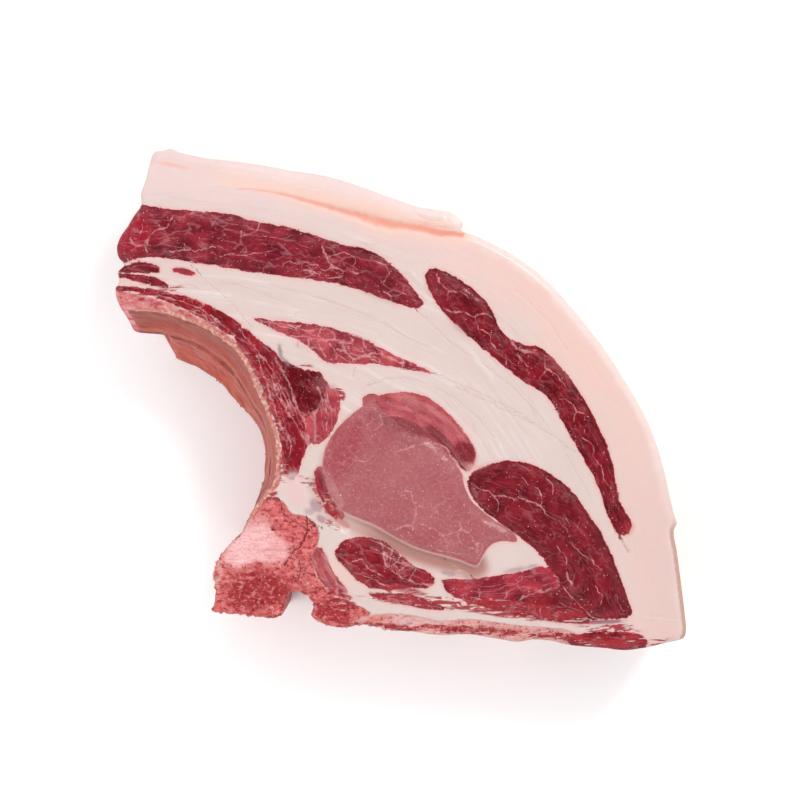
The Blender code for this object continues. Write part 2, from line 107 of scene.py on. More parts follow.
# How far each cut muscle swells over its edge, and the width of its rounded border
SWELL = {
    "top_band": 0.9, "outer_band": 0.8, "middle_band": 0.6, "flank_strip_upper": 0.5,
    "flank_strip_lower": 0.5, "flank_islet": 0.3, "rib_band": 0.6, "intercostal": 0.5,
    "deep_lobe": -0.4, "small_lobe": 0.5, "spinalis": 0.3, "semispinalis": 0.9, "splenius": 0.7,
    "lower_lobe": 0.6, "multifidus": 0.8, "multifidus_strip": 0.4, "nuchal_strip": 0.5,
    "rotator": 0.4, "levator": 0.3, "loin_eye": 1.3, "chine_bone": 0.0, "feather_bone": -0.3,
    "rib": -0.2,
}
SWELL_WIDTH = 4.5

# The relief of the cut face: bumps are (height, size, level of the noise)
FACE_BUMPS = ((0.5, 45, 3.0),)
LEAN_BUMPS = ((0.22, 7, 5.0), (0.1, 2.6, 6.0))
BONE_BUMPS = ((0.7, 5, 8.0), (0.5, 2.2, 9.0))
SHRED_BUMPS = ((0.7, 2.5, 12.0),)
ROUNDING = ((1.1, 3.0), (0.35, 0.9))  # of the rim: (depth, width)
OVERHANG_DEPTH = 2.0
SLIT_DEPTH = 1.6
SLIT_DEEPENS = (-66, -10)

# Middle lines that the meat's grain follows
GRAIN = (
    ((-125, 66), (-90, 66), (-55, 62), (-20, 53), (12, 38)),
    ((8, 52), (25, 39), (45, 19), (60, 9), (72, -5), (82, -28), (92, -56)),
    ((-62, 33), (-40, 27), (-15, 20), (16, 10)),
    ((-125, 47), (-100, 43), (-82, 38), (-66, 28), (-55, 14), (-47, -2), (-43, -16), (-42, -34)),
    ((24, -30), (45, -36), (66, -50), (80, -68), (90, -90)),
    ((12, -74), (36, -75), (64, -70)),
    ((34, -82), (55, -82), (78, -89)),
    ((-28, -59), (-10, -64), (16, -72)),
    ((-20, -88), (20, -89), (60, -94), (100, -97)),
    ((-12, 1), (4, -1), (18, -11), (30, -27)),
    ((-42, 12), (-33, -2), (-32, -18)),
    ((-34, -60), (-22, -79)),
    ((-34, -32), (-26, -48)),
)
GRAIN_APART = (150, 80)

# Lean that fills narrow seams: beside the ribs, in the neck, over the loin and at its left
SEAM_MEAT = (
    ((-62.6, 28.8), (-56.8, 24), (-50, 19.1), (-47, 15.4), (-44.6, 14.8), (-38, 11.9), (-33.8, 11.4),
     (-30, 8), (-27.7, 4), (-25.4, -1.4), (-27, -9), (-29.2, -14.5), (-33, -17.4), (-36.5, -17.6),
     (-38.5, -22), (-41, -28.5), (-43.4, -31), (-46, -27), (-47.4, -20), (-47.6, -12), (-49.6, -4),
     (-53, 4), (-57, 12), (-60, 18), (-66, 25)),
    ((17.5, -74), (22, -72.6), (28.9, -71.6), (38, -70.6), (47.9, -69), (55, -67.6), (60, -66.4),
     (66, -62), (80, -70), (91, -84), (91.5, -86.6), (84, -87.6), (70.7, -87.6), (60, -87.4),
     (50, -86.4), (38.4, -84.2), (33, -82.4), (24, -79.6), (18.6, -76.6)),
    ((-15, 0.5), (-11.5, 2.4), (-8.5, 1.8), (-5, -1.5), (0, -5), (6, -8), (11, -10), (17, -12.5),
     (21, -17.5), (22.4, -21),
     (18.5, -22), (14.5, -18), (10, -15), (5, -14.5), (-1, -13), (-7, -9), (-13, -5)),
    ((-34.2, -28.6), (-31.2, -26.5), (-30.4, -30), (-28.6, -35.5), (-25.8, -40.5), (-22.4, -44.5),
     (-22.8, -48), (-26.6, -46.4), (-29.6, -41.5), (-31.8, -36.5), (-33.6, -32)),
)

# Fine white veins of fat in the meat: (width, points)
VEINS = (
    # top band
    (0.7, ((-90.6, 73.7), (-93.1, 68.6), (-97.8, 68), (-100.8, 64.3), (-101.4, 59.8))),
    (1.1, ((-107.8, 64.6), (-106.6, 62.1), (-103.4, 61.4), (-101.2, 63.2))),
    (0.5, ((-105.3, 74.6), (-102.6, 69.6), (-103.8, 66.4))),
    (0.6, ((-86.6, 73.2), (-83.6, 75), (-78.4, 75.6))),
    (0.4, ((-74.9, 69.6), (-73.4, 71.6), (-73.9, 74.4))),
    (1.4, ((-63.4, 67.4), (-63.9, 65.4))),
    (0.6, ((-63, 65.4), (-59.6, 66.6), (-56.9, 67.6), (-56, 71.6))),
    (0.7, ((-92.2, 59.3), (-87.3, 59.9), (-83.2, 59.6), (-79.2, 59.6), (-76, 61.4), (-73.4, 61))),
    (0.5, ((-86.1, 61.9), (-84.1, 59.9))),
    (0.6, ((-71.8, 57.6), (-67.8, 58.4), (-62.9, 57.6), (-58, 58.8), (-54.7, 58.8), (-49.8, 60))),
    (0.8, ((-46.9, 53.5), (-44.7, 55.4), (-41.6, 54.7), (-38.6, 54.7), (-39.8, 52.3), (-35.1, 51.5),
           (-31.8, 50.2))),
    (0.7, ((-38.4, 54.7), (-33.5, 54), (-30.2, 51.6), (-26.1, 53), (-21.2, 51.5), (-17.1, 50.6))),
    (0.7, ((-29.4, 64.8), (-31.6, 61.1), (-29.6, 57.4), (-26.9, 53.4))),
    (0.5, ((-27.8, 57.8), (-23.7, 59.2), (-19.6, 58.4), (-17.3, 55.3), (-21.2, 51.7))),
    (0.5, ((-9.4, 55.4), (-5.6, 54), (-4.2, 50.6), (-6.4, 47.4))),
    (0.5, ((-6.6, 43.6), (-2.9, 41.2), (2.6, 42.8))),
    (0.4, ((-40.4, 48.6), (-34.5, 49.8), (-28.6, 48.6), (-22.6, 49.4))),
    (0.4, ((-52.2, 65.4), (-46.4, 64.2), (-42.8, 66))),
    # middle band
    (0.8, ((-55.6, 31.7), (-49.8, 30.6), (-44.1, 29.9), (-41, 28.2))),
    (1.1, ((-52.2, 29), (-47.6, 26.6), (-41.6, 25.3), (-37.6, 25.5), (-33.5, 24.7), (-29.4, 24.1),
           (-25.3, 23.5), (-19.6, 22.7))),
    (0.8, ((-25.3, 23.5), (-26.1, 26), (-28.6, 28.4))),
    (0.9, ((-33.5, 24.7), (-32, 21.1), (-29.8, 17.4))),
    (1.0, ((-22.9, 23), (-21.6, 19), (-18, 15.8))),
    (0.9, ((-21.2, 21.1), (-17.1, 20.4), (-12.2, 18.8), (-8.2, 18.4), (-3.4, 16))),
    (0.8, ((-19.6, 26.4), (-15.5, 24.6), (-14.4, 21.8), (-12.6, 19.2))),
    (0.6, ((-10.6, 21.6), (-6.6, 18.2), (0.6, 14.8))),
    (0.9, ((-44, 29.8), (-38, 27.6), (-34, 28.4), (-28.6, 28.3))),
    (0.7, ((-37.6, 25.5), (-36.2, 22.4), (-36.8, 19.4))),
    (0.7, ((-29.4, 24.1), (-26.4, 20.4), (-25.4, 16.6))),
    (0.6, ((-41.6, 25.3), (-40.4, 23.0), (-41, 21.4))),
    (0.7, ((-15.6, 20), (-13.4, 17.4), (-9.4, 15.6))),
    # loin
    (0.9, ((2.5, -35.8), (4.1, -37.1), (5.1, -39.8), (6.1, -42.5), (6.4, -45.8), (5.4, -49.1),
           (2.5, -50.1), (-0.9, -51.1), (-2.6, -52.4))),
    (0.6, ((5.1, -39.8), (7.4, -41.8), (9.4, -42.8))),
    (0.5, ((5.4, -49.1), (4.4, -52.6))),
    (0.5, ((11.7, -38.6), (12.2, -42.3), (13.6, -45.4), (11.6, -47))),
    (0.7, ((23.6, -48.6), (24.2, -51.6), (27, -52.6), (29, -55.1), (30.4, -57.9), (30.8, -60.6))),
    (0.5, ((24.2, -51.6), (22.6, -54.4), (24.8, -57.7), (29, -59.2))),
    (0.5, ((30.4, -57.9), (33.6, -56.6), (36.3, -55.1), (40, -53.9), (40.6, -51.9))),
    (0.4, ((-0.9, -51.1), (1.1, -54.8), (3.8, -57))),
    (0.5, ((-13.6, -10.6), (-10.2, -7.5), (-7.3, -6.6), (-6.6, -9.4), (-9.2, -11.4), (-12.4, -12.6))),
    (0.5, ((-5.5, -17.9), (-2.2, -21.2), (0.6, -23))),
    (1.3, ((17.4, -18.6), (21.4, -23.4), (24.2, -28.7), (26.4, -32.6))),
    (0.8, ((-1.5, -20.6), (2.4, -19.8), (5.1, -18.6), (10.4, -17.2), (16.4, -17.9), (19.7, -20.6))),
    (0.6, ((-21, -27.6), (-18.6, -24.4), (-14, -24.4), (-9.4, -21.6))),
    (0.5, ((8, -49.6), (13, -51), (17.4, -54.4), (19.4, -58.6))),
    (0.5, ((17.4, -54.4), (21.4, -53), (24.2, -51.6))),
    (0.6, ((12.4, -58), (15.6, -60.6), (21, -60.4), (26, -62.6))),
    (0.6, ((33.4, -56.6), (32.4, -60.4), (30.8, -63.6))),
    # semispinalis
    (0.7, ((28.3, -33.4), (31.6, -35.2), (35, -36.5), (37.6, -38.3), (40.6, -38), (43.6, -38.5),
           (46.4, -40.2))),
    (0.5, ((37.6, -38.3), (39.4, -41.1), (39.2, -44.3))),
    (0.7, ((48.6, -30.8), (51.5, -33.6), (54.6, -35.2), (56.2, -37.1), (56.5, -39.8), (56.2, -42.5),
           (57.7, -45.1), (62.4, -47.9), (65.2, -49.5), (67.2, -52.4))),
    (0.8, ((47.2, -38.6), (50, -40), (53, -40.6), (56.2, -42.5))),
    (0.6, ((69.1, -57.5), (71.5, -60.5), (74.4, -63), (77, -65), (80.6, -68))),
    (0.5, ((66.2, -47), (68.2, -50.4))),
    (0.5, ((78.1, -74.6), (81, -78.2), (79.6, -82.2))),
    (0.5, ((86.6, -78.4), (87.4, -81.8), (90, -84))),
    (0.4, ((58.6, -31), (61.2, -34.4), (61, -38))),
    (0.4, ((72.6, -47.2), (70.8, -50.8), (73.4, -54.2))),
    (0.4, ((62.6, -58.4), (66, -61.6), (66.6, -66))),
    # neck
    (1.0, ((61.8, -70.5), (63.4, -71.4), (63.8, -73.8), (61.1, -75.6), (55.8, -76.8), (51.1, -77.8),
           (48.4, -79.8))),
    (0.8, ((66.8, -68.3), (67.4, -71.8), (70, -76))),
    (0.6, ((31.1, -75.4), (31.9, -78.6))),
    (0.6, ((43, -76.2), (41.6, -79.4))),
    (0.8, ((55.8, -83.6), (56.7, -87.7))),
    (0.6, ((64.6, -74), (69, -79.4), (75.6, -85.6), (79.4, -88.6))),
    # multifidus
    (1.3, ((-7.5, -56.6), (-6.8, -59.7), (-6.3, -63.3), (-5.4, -66.2))),
    (0.7, ((-22.6, -66), (-17.4, -64.3), (-15.3, -63.5), (-13.3, -66.8), (-9.5, -69), (-6.4, -70.6))),
    (0.9, ((-5.2, -66.2), (-0.9, -70), (3.1, -72.1), (7.8, -73.4), (13, -74.2))),
    (0.6, ((-16.8, -69.6), (-11.8, -71), (-8, -73.2), (-2.9, -75.4))),
    (0.6, ((-5.8, -66), (-2.4, -65.6), (1.2, -67.4))),
    (0.5, ((-3, -62), (-0.6, -64.6), (3.4, -66))),
    (1.0, ((-2.6, -58.2), (-3.4, -61.6), (-4.6, -66))),
    (0.8, ((0.9, -61), (-0.4, -63.4), (-2.4, -65.8))),
    (0.8, ((4.4, -64.6), (2, -66.6), (-0.4, -68.2))),
    (0.8, ((6.6, -67), (5.2, -69.6), (4, -72.2))),
    # rib side
    (0.9, ((-64.2, 28.3), (-61.9, 25.4), (-59, 21.9), (-56.6, 18.8), (-55.3, 16.8))),
    (1.1, ((-55.3, 16.8), (-52.5, 14.3), (-50.2, 10.9), (-48.4, 6.4), (-46.3, 2.3), (-44.9, -1.4),
           (-42.8, -5))),
    (1.2, ((-49.4, 16), (-46.1, 10), (-43.7, 5.3), (-42, -0.6), (-39.6, -5.9), (-38, -8),
           (-37.7, -12.3), (-36.1, -18.6))),
    (1.4, ((-50.8, 7.6), (-49.6, 2.9), (-46.7, -1.8), (-43.9, -5.9), (-40.8, -10.6), (-37.9, -15.9),
           (-36.3, -19.2))),
    (1.1, ((-54.8, 11), (-53, 6.4), (-51.5, 1), (-50.2, -2.9), (-47.9, -8.8), (-46.5, -13.3))),
    (0.7, ((-57.6, 18.4), (-55, 12.4), (-52.6, 8.2))),
    (1.4, ((-34.3, -5.2), (-34, -11.7), (-33.8, -17.4))),
    (1.1, ((-32.6, 4.8), (-31.2, 1.8), (-32.4, -2.9), (-35.1, -5.3), (-38, -5.6))),
    (0.7, ((-29.3, 3.4), (-28.9, -1.2), (-27.4, -4.6))),
    (0.6, ((-31.2, 1.6), (-28.6, -6.4), (-29.6, -12))),
    (0.7, ((-104, 46.6), (-96, 44.9), (-86, 42), (-78, 38.2))),
    (0.6, ((-97, 41.8), (-88, 39.6), (-80, 36.6), (-72, 31.4), (-66, 25.4))),
    (0.6, ((-91, 37.4), (-82, 35), (-74, 30.6))),
    (0.7, ((-44.6, -14), (-43.4, -18.6), (-44.2, -23))),
    # outer band
    (0.6, ((14.6, 50.8), (16, 46.4), (19.6, 43.6), (18.8, 39.4))),
    (0.5, ((19.6, 43.6), (24.4, 43.2), (27.6, 40.6))),
    (0.6, ((16.8, 36.8), (21.6, 34.6), (25.6, 35.4), (29.6, 33))),
    (0.5, ((29.6, 33), (31.4, 28.6), (36, 26.4))),
    (0.6, ((29.6, 33), (33.6, 34.8), (37, 33.2))),
    (0.6, ((36, 26.4), (37.2, 21.6), (41.6, 18.8), (42.4, 14.2))),
    (1.6, ((43.8, 24.6), (46.4, 20.6), (50.2, 19.4), (54.6, 19.8))),
    (0.9, ((46.4, 20.6), (47.4, 16.6), (51, 13.4))),
    (0.5, ((57.6, 17.6), (58.6, 12.4), (56, 8.4))),
    (0.5, ((58.6, 12.4), (63.4, 9.6), (66.4, 4.6))),
    (0.5, ((63.8, 0.6), (68.2, -0.6), (70.6, -4.6), (69, -9))),
    (0.5, ((70.6, -4.6), (75.6, -6.4))),
    (0.5, ((73, -15), (77.4, -18), (77.2, -23.2), (80.6, -26.4))),
    (0.5, ((80.6, -26.4), (81.4, -31.6), (84.4, -35))),
)
# Cuts, cracks and thin seams, painted dark as shade in their grooves: (width, depth of the groove,
# points)
CREASES = (
    (0.5, 0.5, ((17.7, -63.9), (25, -68.3), (30.3, -71.6))),
    (1.3, 1.0, ((88.1, -54.2), (89.6, -57.9), (91.4, -60.8))),
    (0.6, 0.9, ((-37.5, -45.9), (-36.6, -51.2), (-37.5, -54.6), (-40.2, -58.5), (-44.2, -62.5),
                (-46.4, -66.5))),
    (0.4, 0.5, ((-40.9, -61.8), (-39.7, -66.5), (-41.2, -73.1))),
    (0.45, 0.8, ((-48.8, -39.3), (-47.5, -41.9), (-46.8, -45.9), (-40.9, -49.2), (-37.5, -51.2))),
    (1.6, 1.0, ((-35.2, -49), (-34.8, -49.8))),
    (1.4, 1.0, ((-36.9, -51.4), (-36.3, -52))),
    (1.1, 0.8, ((-31, -50.9), (-30.8, -51.6))),
    (0.9, 0.6, ((-51, -51.5), (-50.2, -51.8))),
    (0.35, 0.3, ((-84.1, 54.5), (-77.6, 48), (-69.4, 40.7), (-62.9, 33.3), (-59.2, 29.2))),
    (0.5, 0.4, ((12.4, -13.4), (15.1, -15), (18.6, -18.9), (22, -22.9), (25.9, -28.2))),
    (0.4, 0.3, ((-18, 13.1), (-18.5, 8.8))),
    (0.6, 0.4, ((-13.3, 5.4), (-11, 6.6), (-8.8, 7))),
    (0.3, 0.2, ((44.9, -3.1), (49.6, -6.2), (53, -9.4))),
    (0.35, 0.35, ((0, 12.4), (9.2, 12.0), (18, 9), (27.6, 4.8), (38, 0), (49.2, -6))),
    (0.35, 0.35, ((22, 5.4), (38.4, -2.4), (50, -8), (61.6, -14.4), (70.4, -21))),
    (0.3, 0.3, ((2.6, 39.6), (12, 31.2), (20.6, 22.6), (30, 17), (38.6, 10.4), (47, 3.6),
                (54.8, -5), (61, -12.6), (66, -20.4), (71.4, -30), (76, -38.8))),
    (0.3, 0.35, ((-12.5, 6), (-5, 8.8), (3, 8.8), (12, 6.4), (22, 1), (32, -8), (40, -17))),
    (0.3, 0.3, ((-52, 46), (-38, 42.6), (-24, 38.2), (-12, 33.4), (-2, 28))),
    (0.25, 0.25, ((-70, 47.6), (-60, 44.6), (-50, 40.6), (-40, 36.8))),
    (0.25, 0.25, ((46, 44.4), (54, 37.6), (61, 29.4), (67, 20))),
    (0.4, 0.7, ((6.4, 74.4), (11.4, 72.2), (16, 71.6))),
    (0.5, 0.8, ((9.4, 70.6), (15.6, 69.4), (22, 68.6))),
    (0.4, 0.6, ((12, 66.6), (17.4, 65.8), (22.6, 66.4))),
    (0.3, 0.5, ((18.6, 73.8), (19.6, 71.4))),
)
LINE_WIDTH = 0.8  # of the widths given, as the material draws the lines soft
LINE_REACH = 4  # how far from a line its points are looked for
FAR = 9.0  # stands for a point with no line near
# Patches of another colour, a few of them painted shade: (x, y, half length, half width, turn in
# degrees, share, colour)
PATCHES = (
    (-33.6, -42.2, 3.8, 2.6, -50, 0.75, (0.44, 0.26, 0.31)),
    (-36.4, -44.6, 2.6, 1.6, -20, 0.6, (0.5, 0.24, 0.28)),
    (-31.6, -47.6, 2.6, 1.8, -40, 0.7, (0.42, 0.2, 0.24)),
    (19.4, -69.4, 3.6, 1.3, -12, 0.85, (0.44, 0.36, 0.41)),
    (27, -71, 2.6, 0.9, -18, 0.7, (0.5, 0.42, 0.46)),
    (46, -67.9, 5.6, 1.3, 10, 0.7, (0.5, 0.36, 0.4)),
    (53, -66.4, 2.8, 1.0, 12, 0.7, (0.46, 0.34, 0.38)),
    (-48, 19.6, 3.6, 1.0, 98, 0.85, (0.36, 0.26, 0.26)),
    (-45.6, 15.2, 3.0, 0.9, 130, 0.8, (0.3, 0.2, 0.22)),
    (-43.2, -33, 5.6, 5.2, 30, 0.75, (0.88, 0.62, 0.61)),
    (-41, -39, 4.4, 4.4, 0, 0.7, (0.88, 0.6, 0.58)),
    (-61, -57.4, 13, 8.4, 42, 0.98, (1.12, 0.66, 0.65)),
    (-52, -59.6, 9.6, 7, -10, 0.9, (1.06, 0.54, 0.53)),
    (-107, 66, 9, 8.5, 60, 0.9, (0.4, 0.012, 0.032)),
    (-8, 46, 12, 6, -24, 0.5, (0.19, 0.016, 0.026)),
    (27, 33, 9, 7, -50, 0.5, (0.17, 0.012, 0.022)),
    (16, 46, 6, 6, 0, 0.5, (0.36, 0.045, 0.06)),
    (60, -50, 16, 10, -55, 0.35, (0.2, 0.012, 0.022)),
    (-72.6, -70, 7.5, 1.8, 84, 0.8, (0.86, 0.4, 0.38)),
    (-57, -76, 15.5, 9.6, 8, 0.86, (0.42, 0.016, 0.026)),
    (-57, -47.6, 7, 3.2, 38, 0.7, (0.78, 0.24, 0.22)),
    (-69.4, -58.4, 4, 1.6, 60, 0.85, (0.8, 0.22, 0.18)),
    (-38.6, -69, 5, 8, 10, 0.65, (0.72, 0.2, 0.2)),
    (-27, -84.6, 10, 5.4, -16, 0.85, (0.46, 0.03, 0.04)),
    (-23.4, -69, 10.4, 1.9, -47, 0.95, (0.86, 0.63, 0.58)),
    (-18, -79, 5, 1.5, -30, 0.8, (0.84, 0.6, 0.56)),
    (3, -76, 10, 1.8, -14, 0.7, (0.42, 0.075, 0.09)),
    (-23, -49.4, 4, 2.0, -35, 0.7, (0.6, 0.2, 0.18)),
    (7, -88.6, 12, 2.3, -2, 0.9, (0.84, 0.52, 0.5)),
    (-10, -87.8, 5.6, 1.9, 8, 0.85, (0.84, 0.28, 0.24)),
    (36, -91.6, 14, 1.6, -4, 0.6, (0.7, 0.36, 0.33)),
    (62, -93, 10, 1.2, -5, 0.6, (0.74, 0.4, 0.35)),
    (82, -88.7, 9.4, 1.2, 2, 0.75, (0.26, 0.06, 0.1)),
    (90.8, -51.4, 3.0, 3.6, -30, 0.5, (0.5, 0.025, 0.035)),
    (-91, 94, 7.6, 1.0, -12, 0.7, (0.93, 0.5, 0.42)),
    (-101, 96.5, 4, 2.4, -14, 0.5, (0.94, 0.58, 0.5)),
    (-78, 92, 22, 2.2, -9, 0.4, (0.97, 0.66, 0.57)),
    (16, 67, 9, 2.2, -10, 0.6, (0.96, 0.5, 0.4)),
    (-6, -87.4, 3, 1.0, 0, 0.4, (0.88, 0.4, 0.34)),
    (28, -27.6, 3.6, 1.6, 30, 0.7, (0.85, 0.5, 0.46)),
    (33, -26.4, 3.8, 1.2, 20, 0.6, (0.8, 0.44, 0.42)),
    (-27, -45.8, 2.6, 5.6, -40, 0.4, (0.72, 0.36, 0.34)),
    # painted shade in the valley between the spinalis and the loin: the next five
    (2, -10.6, 12, 3.4, -18, 0.95, (0.29, 0.062, 0.072)),
    (15.6, -15.0, 8, 3.0, -42, 0.95, (0.26, 0.04, 0.048)),
    (22.6, -22.6, 7, 2.4, -52, 0.9, (0.26, 0.034, 0.044)),
    (-9, -7.6, 7, 3.4, -30, 0.6, (0.35, 0.08, 0.098)),
    (1, -15.4, 12, 3.6, -16, 0.6, (0.38, 0.1, 0.122)),
    (6, -1.6, 13, 2.0, -24, 0.6, (0.66, 0.25, 0.25)),
    (20, -10.4, 9, 1.8, -46, 0.5, (0.6, 0.2, 0.21)),
    (-5, -2, 7, 2.0, -12, 0.5, (0.48, 0.1, 0.12)),
    (-23, -20, 17, 7, 62, 0.75, (0.42, 0.07, 0.092)),
    (12, -24, 10, 5, -30, 0.4, (0.56, 0.21, 0.22)),
    (24, -56, 12, 6, -30, 0.35, (0.48, 0.16, 0.15)),
    (4, -32, 13, 8, -40, 0.3, (0.54, 0.2, 0.215)),
    (2, -53, 13, 2.6, -28, 0.55, (0.36, 0.07, 0.068)),
    (20, -60, 9, 2.2, -14, 0.4, (0.5, 0.19, 0.15)),
    (5, -6.6, 9, 1.6, -18, 0.45, (0.44, 0.075, 0.09)),
    (26, -21, 6, 4.4, -60, 0.95, (0.23, 0.016, 0.028)),
    (-25.6, -44, 5, 1.4, -52, 0.5, (0.62, 0.17, 0.16)),
    (-31, -10, 3.4, 6, 0, 0.5, (0.33, 0.022, 0.04)),
    (-27, 3, 3.0, 4, 20, 0.45, (0.38, 0.035, 0.055)),
    (27.6, -26.4, 3.4, 1.5, -20, 0.6, (0.84, 0.5, 0.45)),
    (104, -87.4, 9, 0.8, -6, 0.5, (0.92, 0.76, 0.73)),
    (-22, 8, 14, 5, 12, 0.25, (0.86, 0.6, 0.57)),
    (70, 18, 16, 9, -48, 0.35, (0.95, 0.62, 0.56)),
    (99, -57, 5, 3, -60, 0.25, (0.9, 0.56, 0.52)),
)
# Red shreds in the fat, in the same form but for the colour
SHREDS = (
    (8, -80, 26, 3.0, -6, 1.0), (46, -84, 34, 3.6, -7, 1.0), (30, -81.6, 16, 2.2, -6, 0.8),
    (0, -76, 10, 2.4, -14, 0.8), (-24, -80, 8, 4, -30, 0.9), (84, -91.4, 14, 2.2, 0, 0.8),
    (20, -91.8, 44, 1.8, -3, 1.0), (64, -94.6, 24, 1.6, -5, 1.0), (90, -97, 20, 3, 3, 0.7),
    (-47.4, -26, 3, 8, 8, 0.7), (-54, 2, 3.6, 22, 24, 0.6), (-98, 42.6, 14, 2, 14, 0.6),
    (-40, 14, 6, 1.6, -8, 0.5), (-30, -40, 10, 3.2, -58, 0.8), (-37, -33, 5, 2.2, -30, 0.5),
    (-27, -50, 4, 1.8, -30, 0.5), (-24, 2, 2.4, 4.4, 10, 0.6), (-52, -38, 4, 4, 0, 0.6),
)
# The slit under the loose skin flap: half width and point
SLIT = (
    (0.3, (-66.5, 84.9)), (0.4, (-56, 84)), (0.6, (-46.5, 82.3)), (0.8, (-35.9, 79.4)),
    (0.9, (-26.1, 76.6)), (1.2, (-17.1, 74.3)), (1.7, (-9.8, 71.9)), (1.5, (-2, 70)),
    (1.2, (8, 68.9)), (1.2, (16, 67)), (0.9, (24.8, 66.2)),
)
# The loin's lower edge stands over the fat beside it, which is in its shade
OVERHANG = (
    (-30.6, -35), (-27.6, -40), (-23.8, -45.4), (-18.1, -48.7), (-10.5, -52), (-5.5, -54.8),
    (1.1, -58.2), (10.4, -61.6), (17, -63.4), (23.7, -65.0), (30.3, -66.6),
)
# How each muscle and bone looks: its colour, and the share of fine veins in it
LOOKS = {
    "top_band": (0.265, 0.02, 0.036, 0.32), "outer_band": (0.225, 0.008, 0.018, 0.15),
    "middle_band": (0.47, 0.074, 0.098, 1.0), "flank_strip_upper": (0.27, 0.02, 0.03, 0.3),
    "flank_strip_lower": (0.27, 0.02, 0.03, 0.3), "flank_islet": (0.44, 0.05, 0.07, 0.1),
    "rib_band": (0.34, 0.013, 0.024, 0.3), "intercostal": (0.3, 0.012, 0.024, 0.4),
    "deep_lobe": (0.175, 0.003, 0.01, 0.1), "small_lobe": (0.5, 0.08, 0.1, 0.6),
    "spinalis": (0.58, 0.13, 0.145, 0.1), "semispinalis": (0.225, 0.013, 0.024, 0.15),
    "splenius": (0.42, 0.038, 0.062, 0.4), "lower_lobe": (0.28, 0.019, 0.032, 0.3),
    "multifidus": (0.31, 0.017, 0.029, 0.3), "multifidus_strip": (0.3, 0.04, 0.05, 0.5),
    "nuchal_strip": (0.32, 0.012, 0.022, 0.3), "rotator": (0.53, 0.12, 0.13, 0.7),
    "levator": (0.37, 0.04, 0.052, 0.3), "loin_eye": (0.465, 0.13, 0.148, 0.0),
    "chine_bone": (0.74, 0.17, 0.17, 0.0), "feather_bone": (0.8, 0.4, 0.37, 0.0),
    "rib": (0.76, 0.26, 0.26, 0.0),
}

LIGHT = 1.42  # how much brighter than its own colour a surface looks under the studio light

# The studio, in metres
FLOOR_REACH = 3.0
FLOOR_GAP = 0.0002
CAMERA_DISTANCE = 0.7  # from the cut face
LIGHTS = (  # name, place, size and power
    ("key", (0.55, 0.75, 0.85), 0.35, 7),
    ("fill", (-0.75, -0.45, 0.95), 0.6, 5.5),
)
TENT = (0.8, 0.96, 1.18, 0.15)  # the heights it dims between, and its strength below and above them
SENSOR = 36  # in millimetres
PICTURE_WIDTH = 0.32  # of the photograph, at the cut face


def seen(red, green, blue):
    """The surface colour that looks like this one under the studio light."""
    return tuple(min(c / LIGHT, 0.97) for c in (red, green, blue))


def smooth(value, low, high):
    """0 below low, 1 above high, and an even rise between."""
    t = np.clip((value - low) / (high - low), 0, 1)
    return t * t * (3 - 2 * t)


def closed_curve(points, step):
    """A smooth closed curve through the points, in sides of about one step."""
    p = np.array(points, float)
    keep = np.linalg.norm(np.roll(p, -1, 0) - p, axis=1) > 0.2
    p = p[keep]
    before, after, next_after = np.roll(p, 1, 0), np.roll(p, -1, 0), np.roll(p, -2, 0)
    found = []
    for a, b, c, d in zip(before, p, after, next_after, strict=True):
        ab, bc, cd = (math.sqrt(np.linalg.norm(v)) for v in (b - a, c - b, d - c))
        leave = ((b - a) / ab - (c - a) / (ab + bc) + (c - b) / bc) * bc
        arrive = ((c - b) / bc - (d - b) / (bc + cd) + (d - c) / cd) * bc
        sides = max(1, round(np.linalg.norm(c - b) / step))
        for t in np.arange(sides) / sides:
            found.append(
                (2 * t**3 - 3 * t**2 + 1) * b
                + (t**3 - 2 * t**2 + t) * leave
                + (3 * t**2 - 2 * t**3) * c
                + (t**3 - t**2) * arrive
            )
    return np.array(found)


def in_parts(function, points, size=4000):
    """Runs a function of many points a part at a time, to save memory."""
    if not len(points):
        return function(points)
    parts = [function(points[i : i + size]) for i in range(0, len(points), size)]
    return np.concatenate(parts)


def inside(points, polygon):
    """Whether each point is inside the polygon."""
    x0, y0 = polygon.T
    x1, y1 = np.roll(polygon, -1, 0).T
    rise = np.where(y1 == y0, 1, y1 - y0)

    def test(part):
        x, y = part[:, :1], part[:, 1:]
        spans = (y0 > y) != (y1 > y)
        return (spans & (x < (x1 - x0) * (y - y0) / rise + x0)).sum(1) % 2 == 1

    return in_parts(test, points)


def nearest(points, line, closed):
    """For each point: the way to the nearest point of the line, and its position along the line."""
    starts = line if closed else line[:-1]
    ends = np.roll(line, -1, 0) if closed else line[1:]
    ways = ends - starts
    squares = np.maximum((ways**2).sum(1), 1e-9)
    lengths = np.sqrt(squares)
    begins = np.concatenate([[0], np.cumsum(lengths)[:-1]])

    def test(part):
        along = np.clip(((part[:, None] - starts) * ways).sum(2) / squares, 0, 1)
        to = starts + along[..., None] * ways - part[:, None]
        best = (to**2).sum(2).argmin(1)
        rows = np.arange(len(part))
        found = to[rows, best]
        side = ways[best, 0] * found[:, 1] - ways[best, 1] * found[:, 0]
        place = begins[best] + along[rows, best] * lengths[best]
        return np.column_stack([found, place, side])

    return in_parts(test, points)


def wandering(line):
    """The line with rounded corners and small random bends."""
    line = np.array(line, float)
    along = lengths_to(line)
    places = np.linspace(0, along[-1], 2 + int(along[-1] / 0.5))
    fine = np.column_stack([np.interp(places, along, line[:, k]) for k in (0, 1)])
    for _ in range(4):
        fine[1:-1] = (fine[:-2] + 2 * fine[1:-1] + fine[2:]) / 4
    bends = np.column_stack([noise_at(fine, 1.8, level) for level in (11.0, 23.0)])
    return fine + 0.8 * bends


def distance(points, line, closed=True):
    """How far each point is from the line."""
    return np.linalg.norm(nearest(points, line, closed)[:, :2], axis=1)


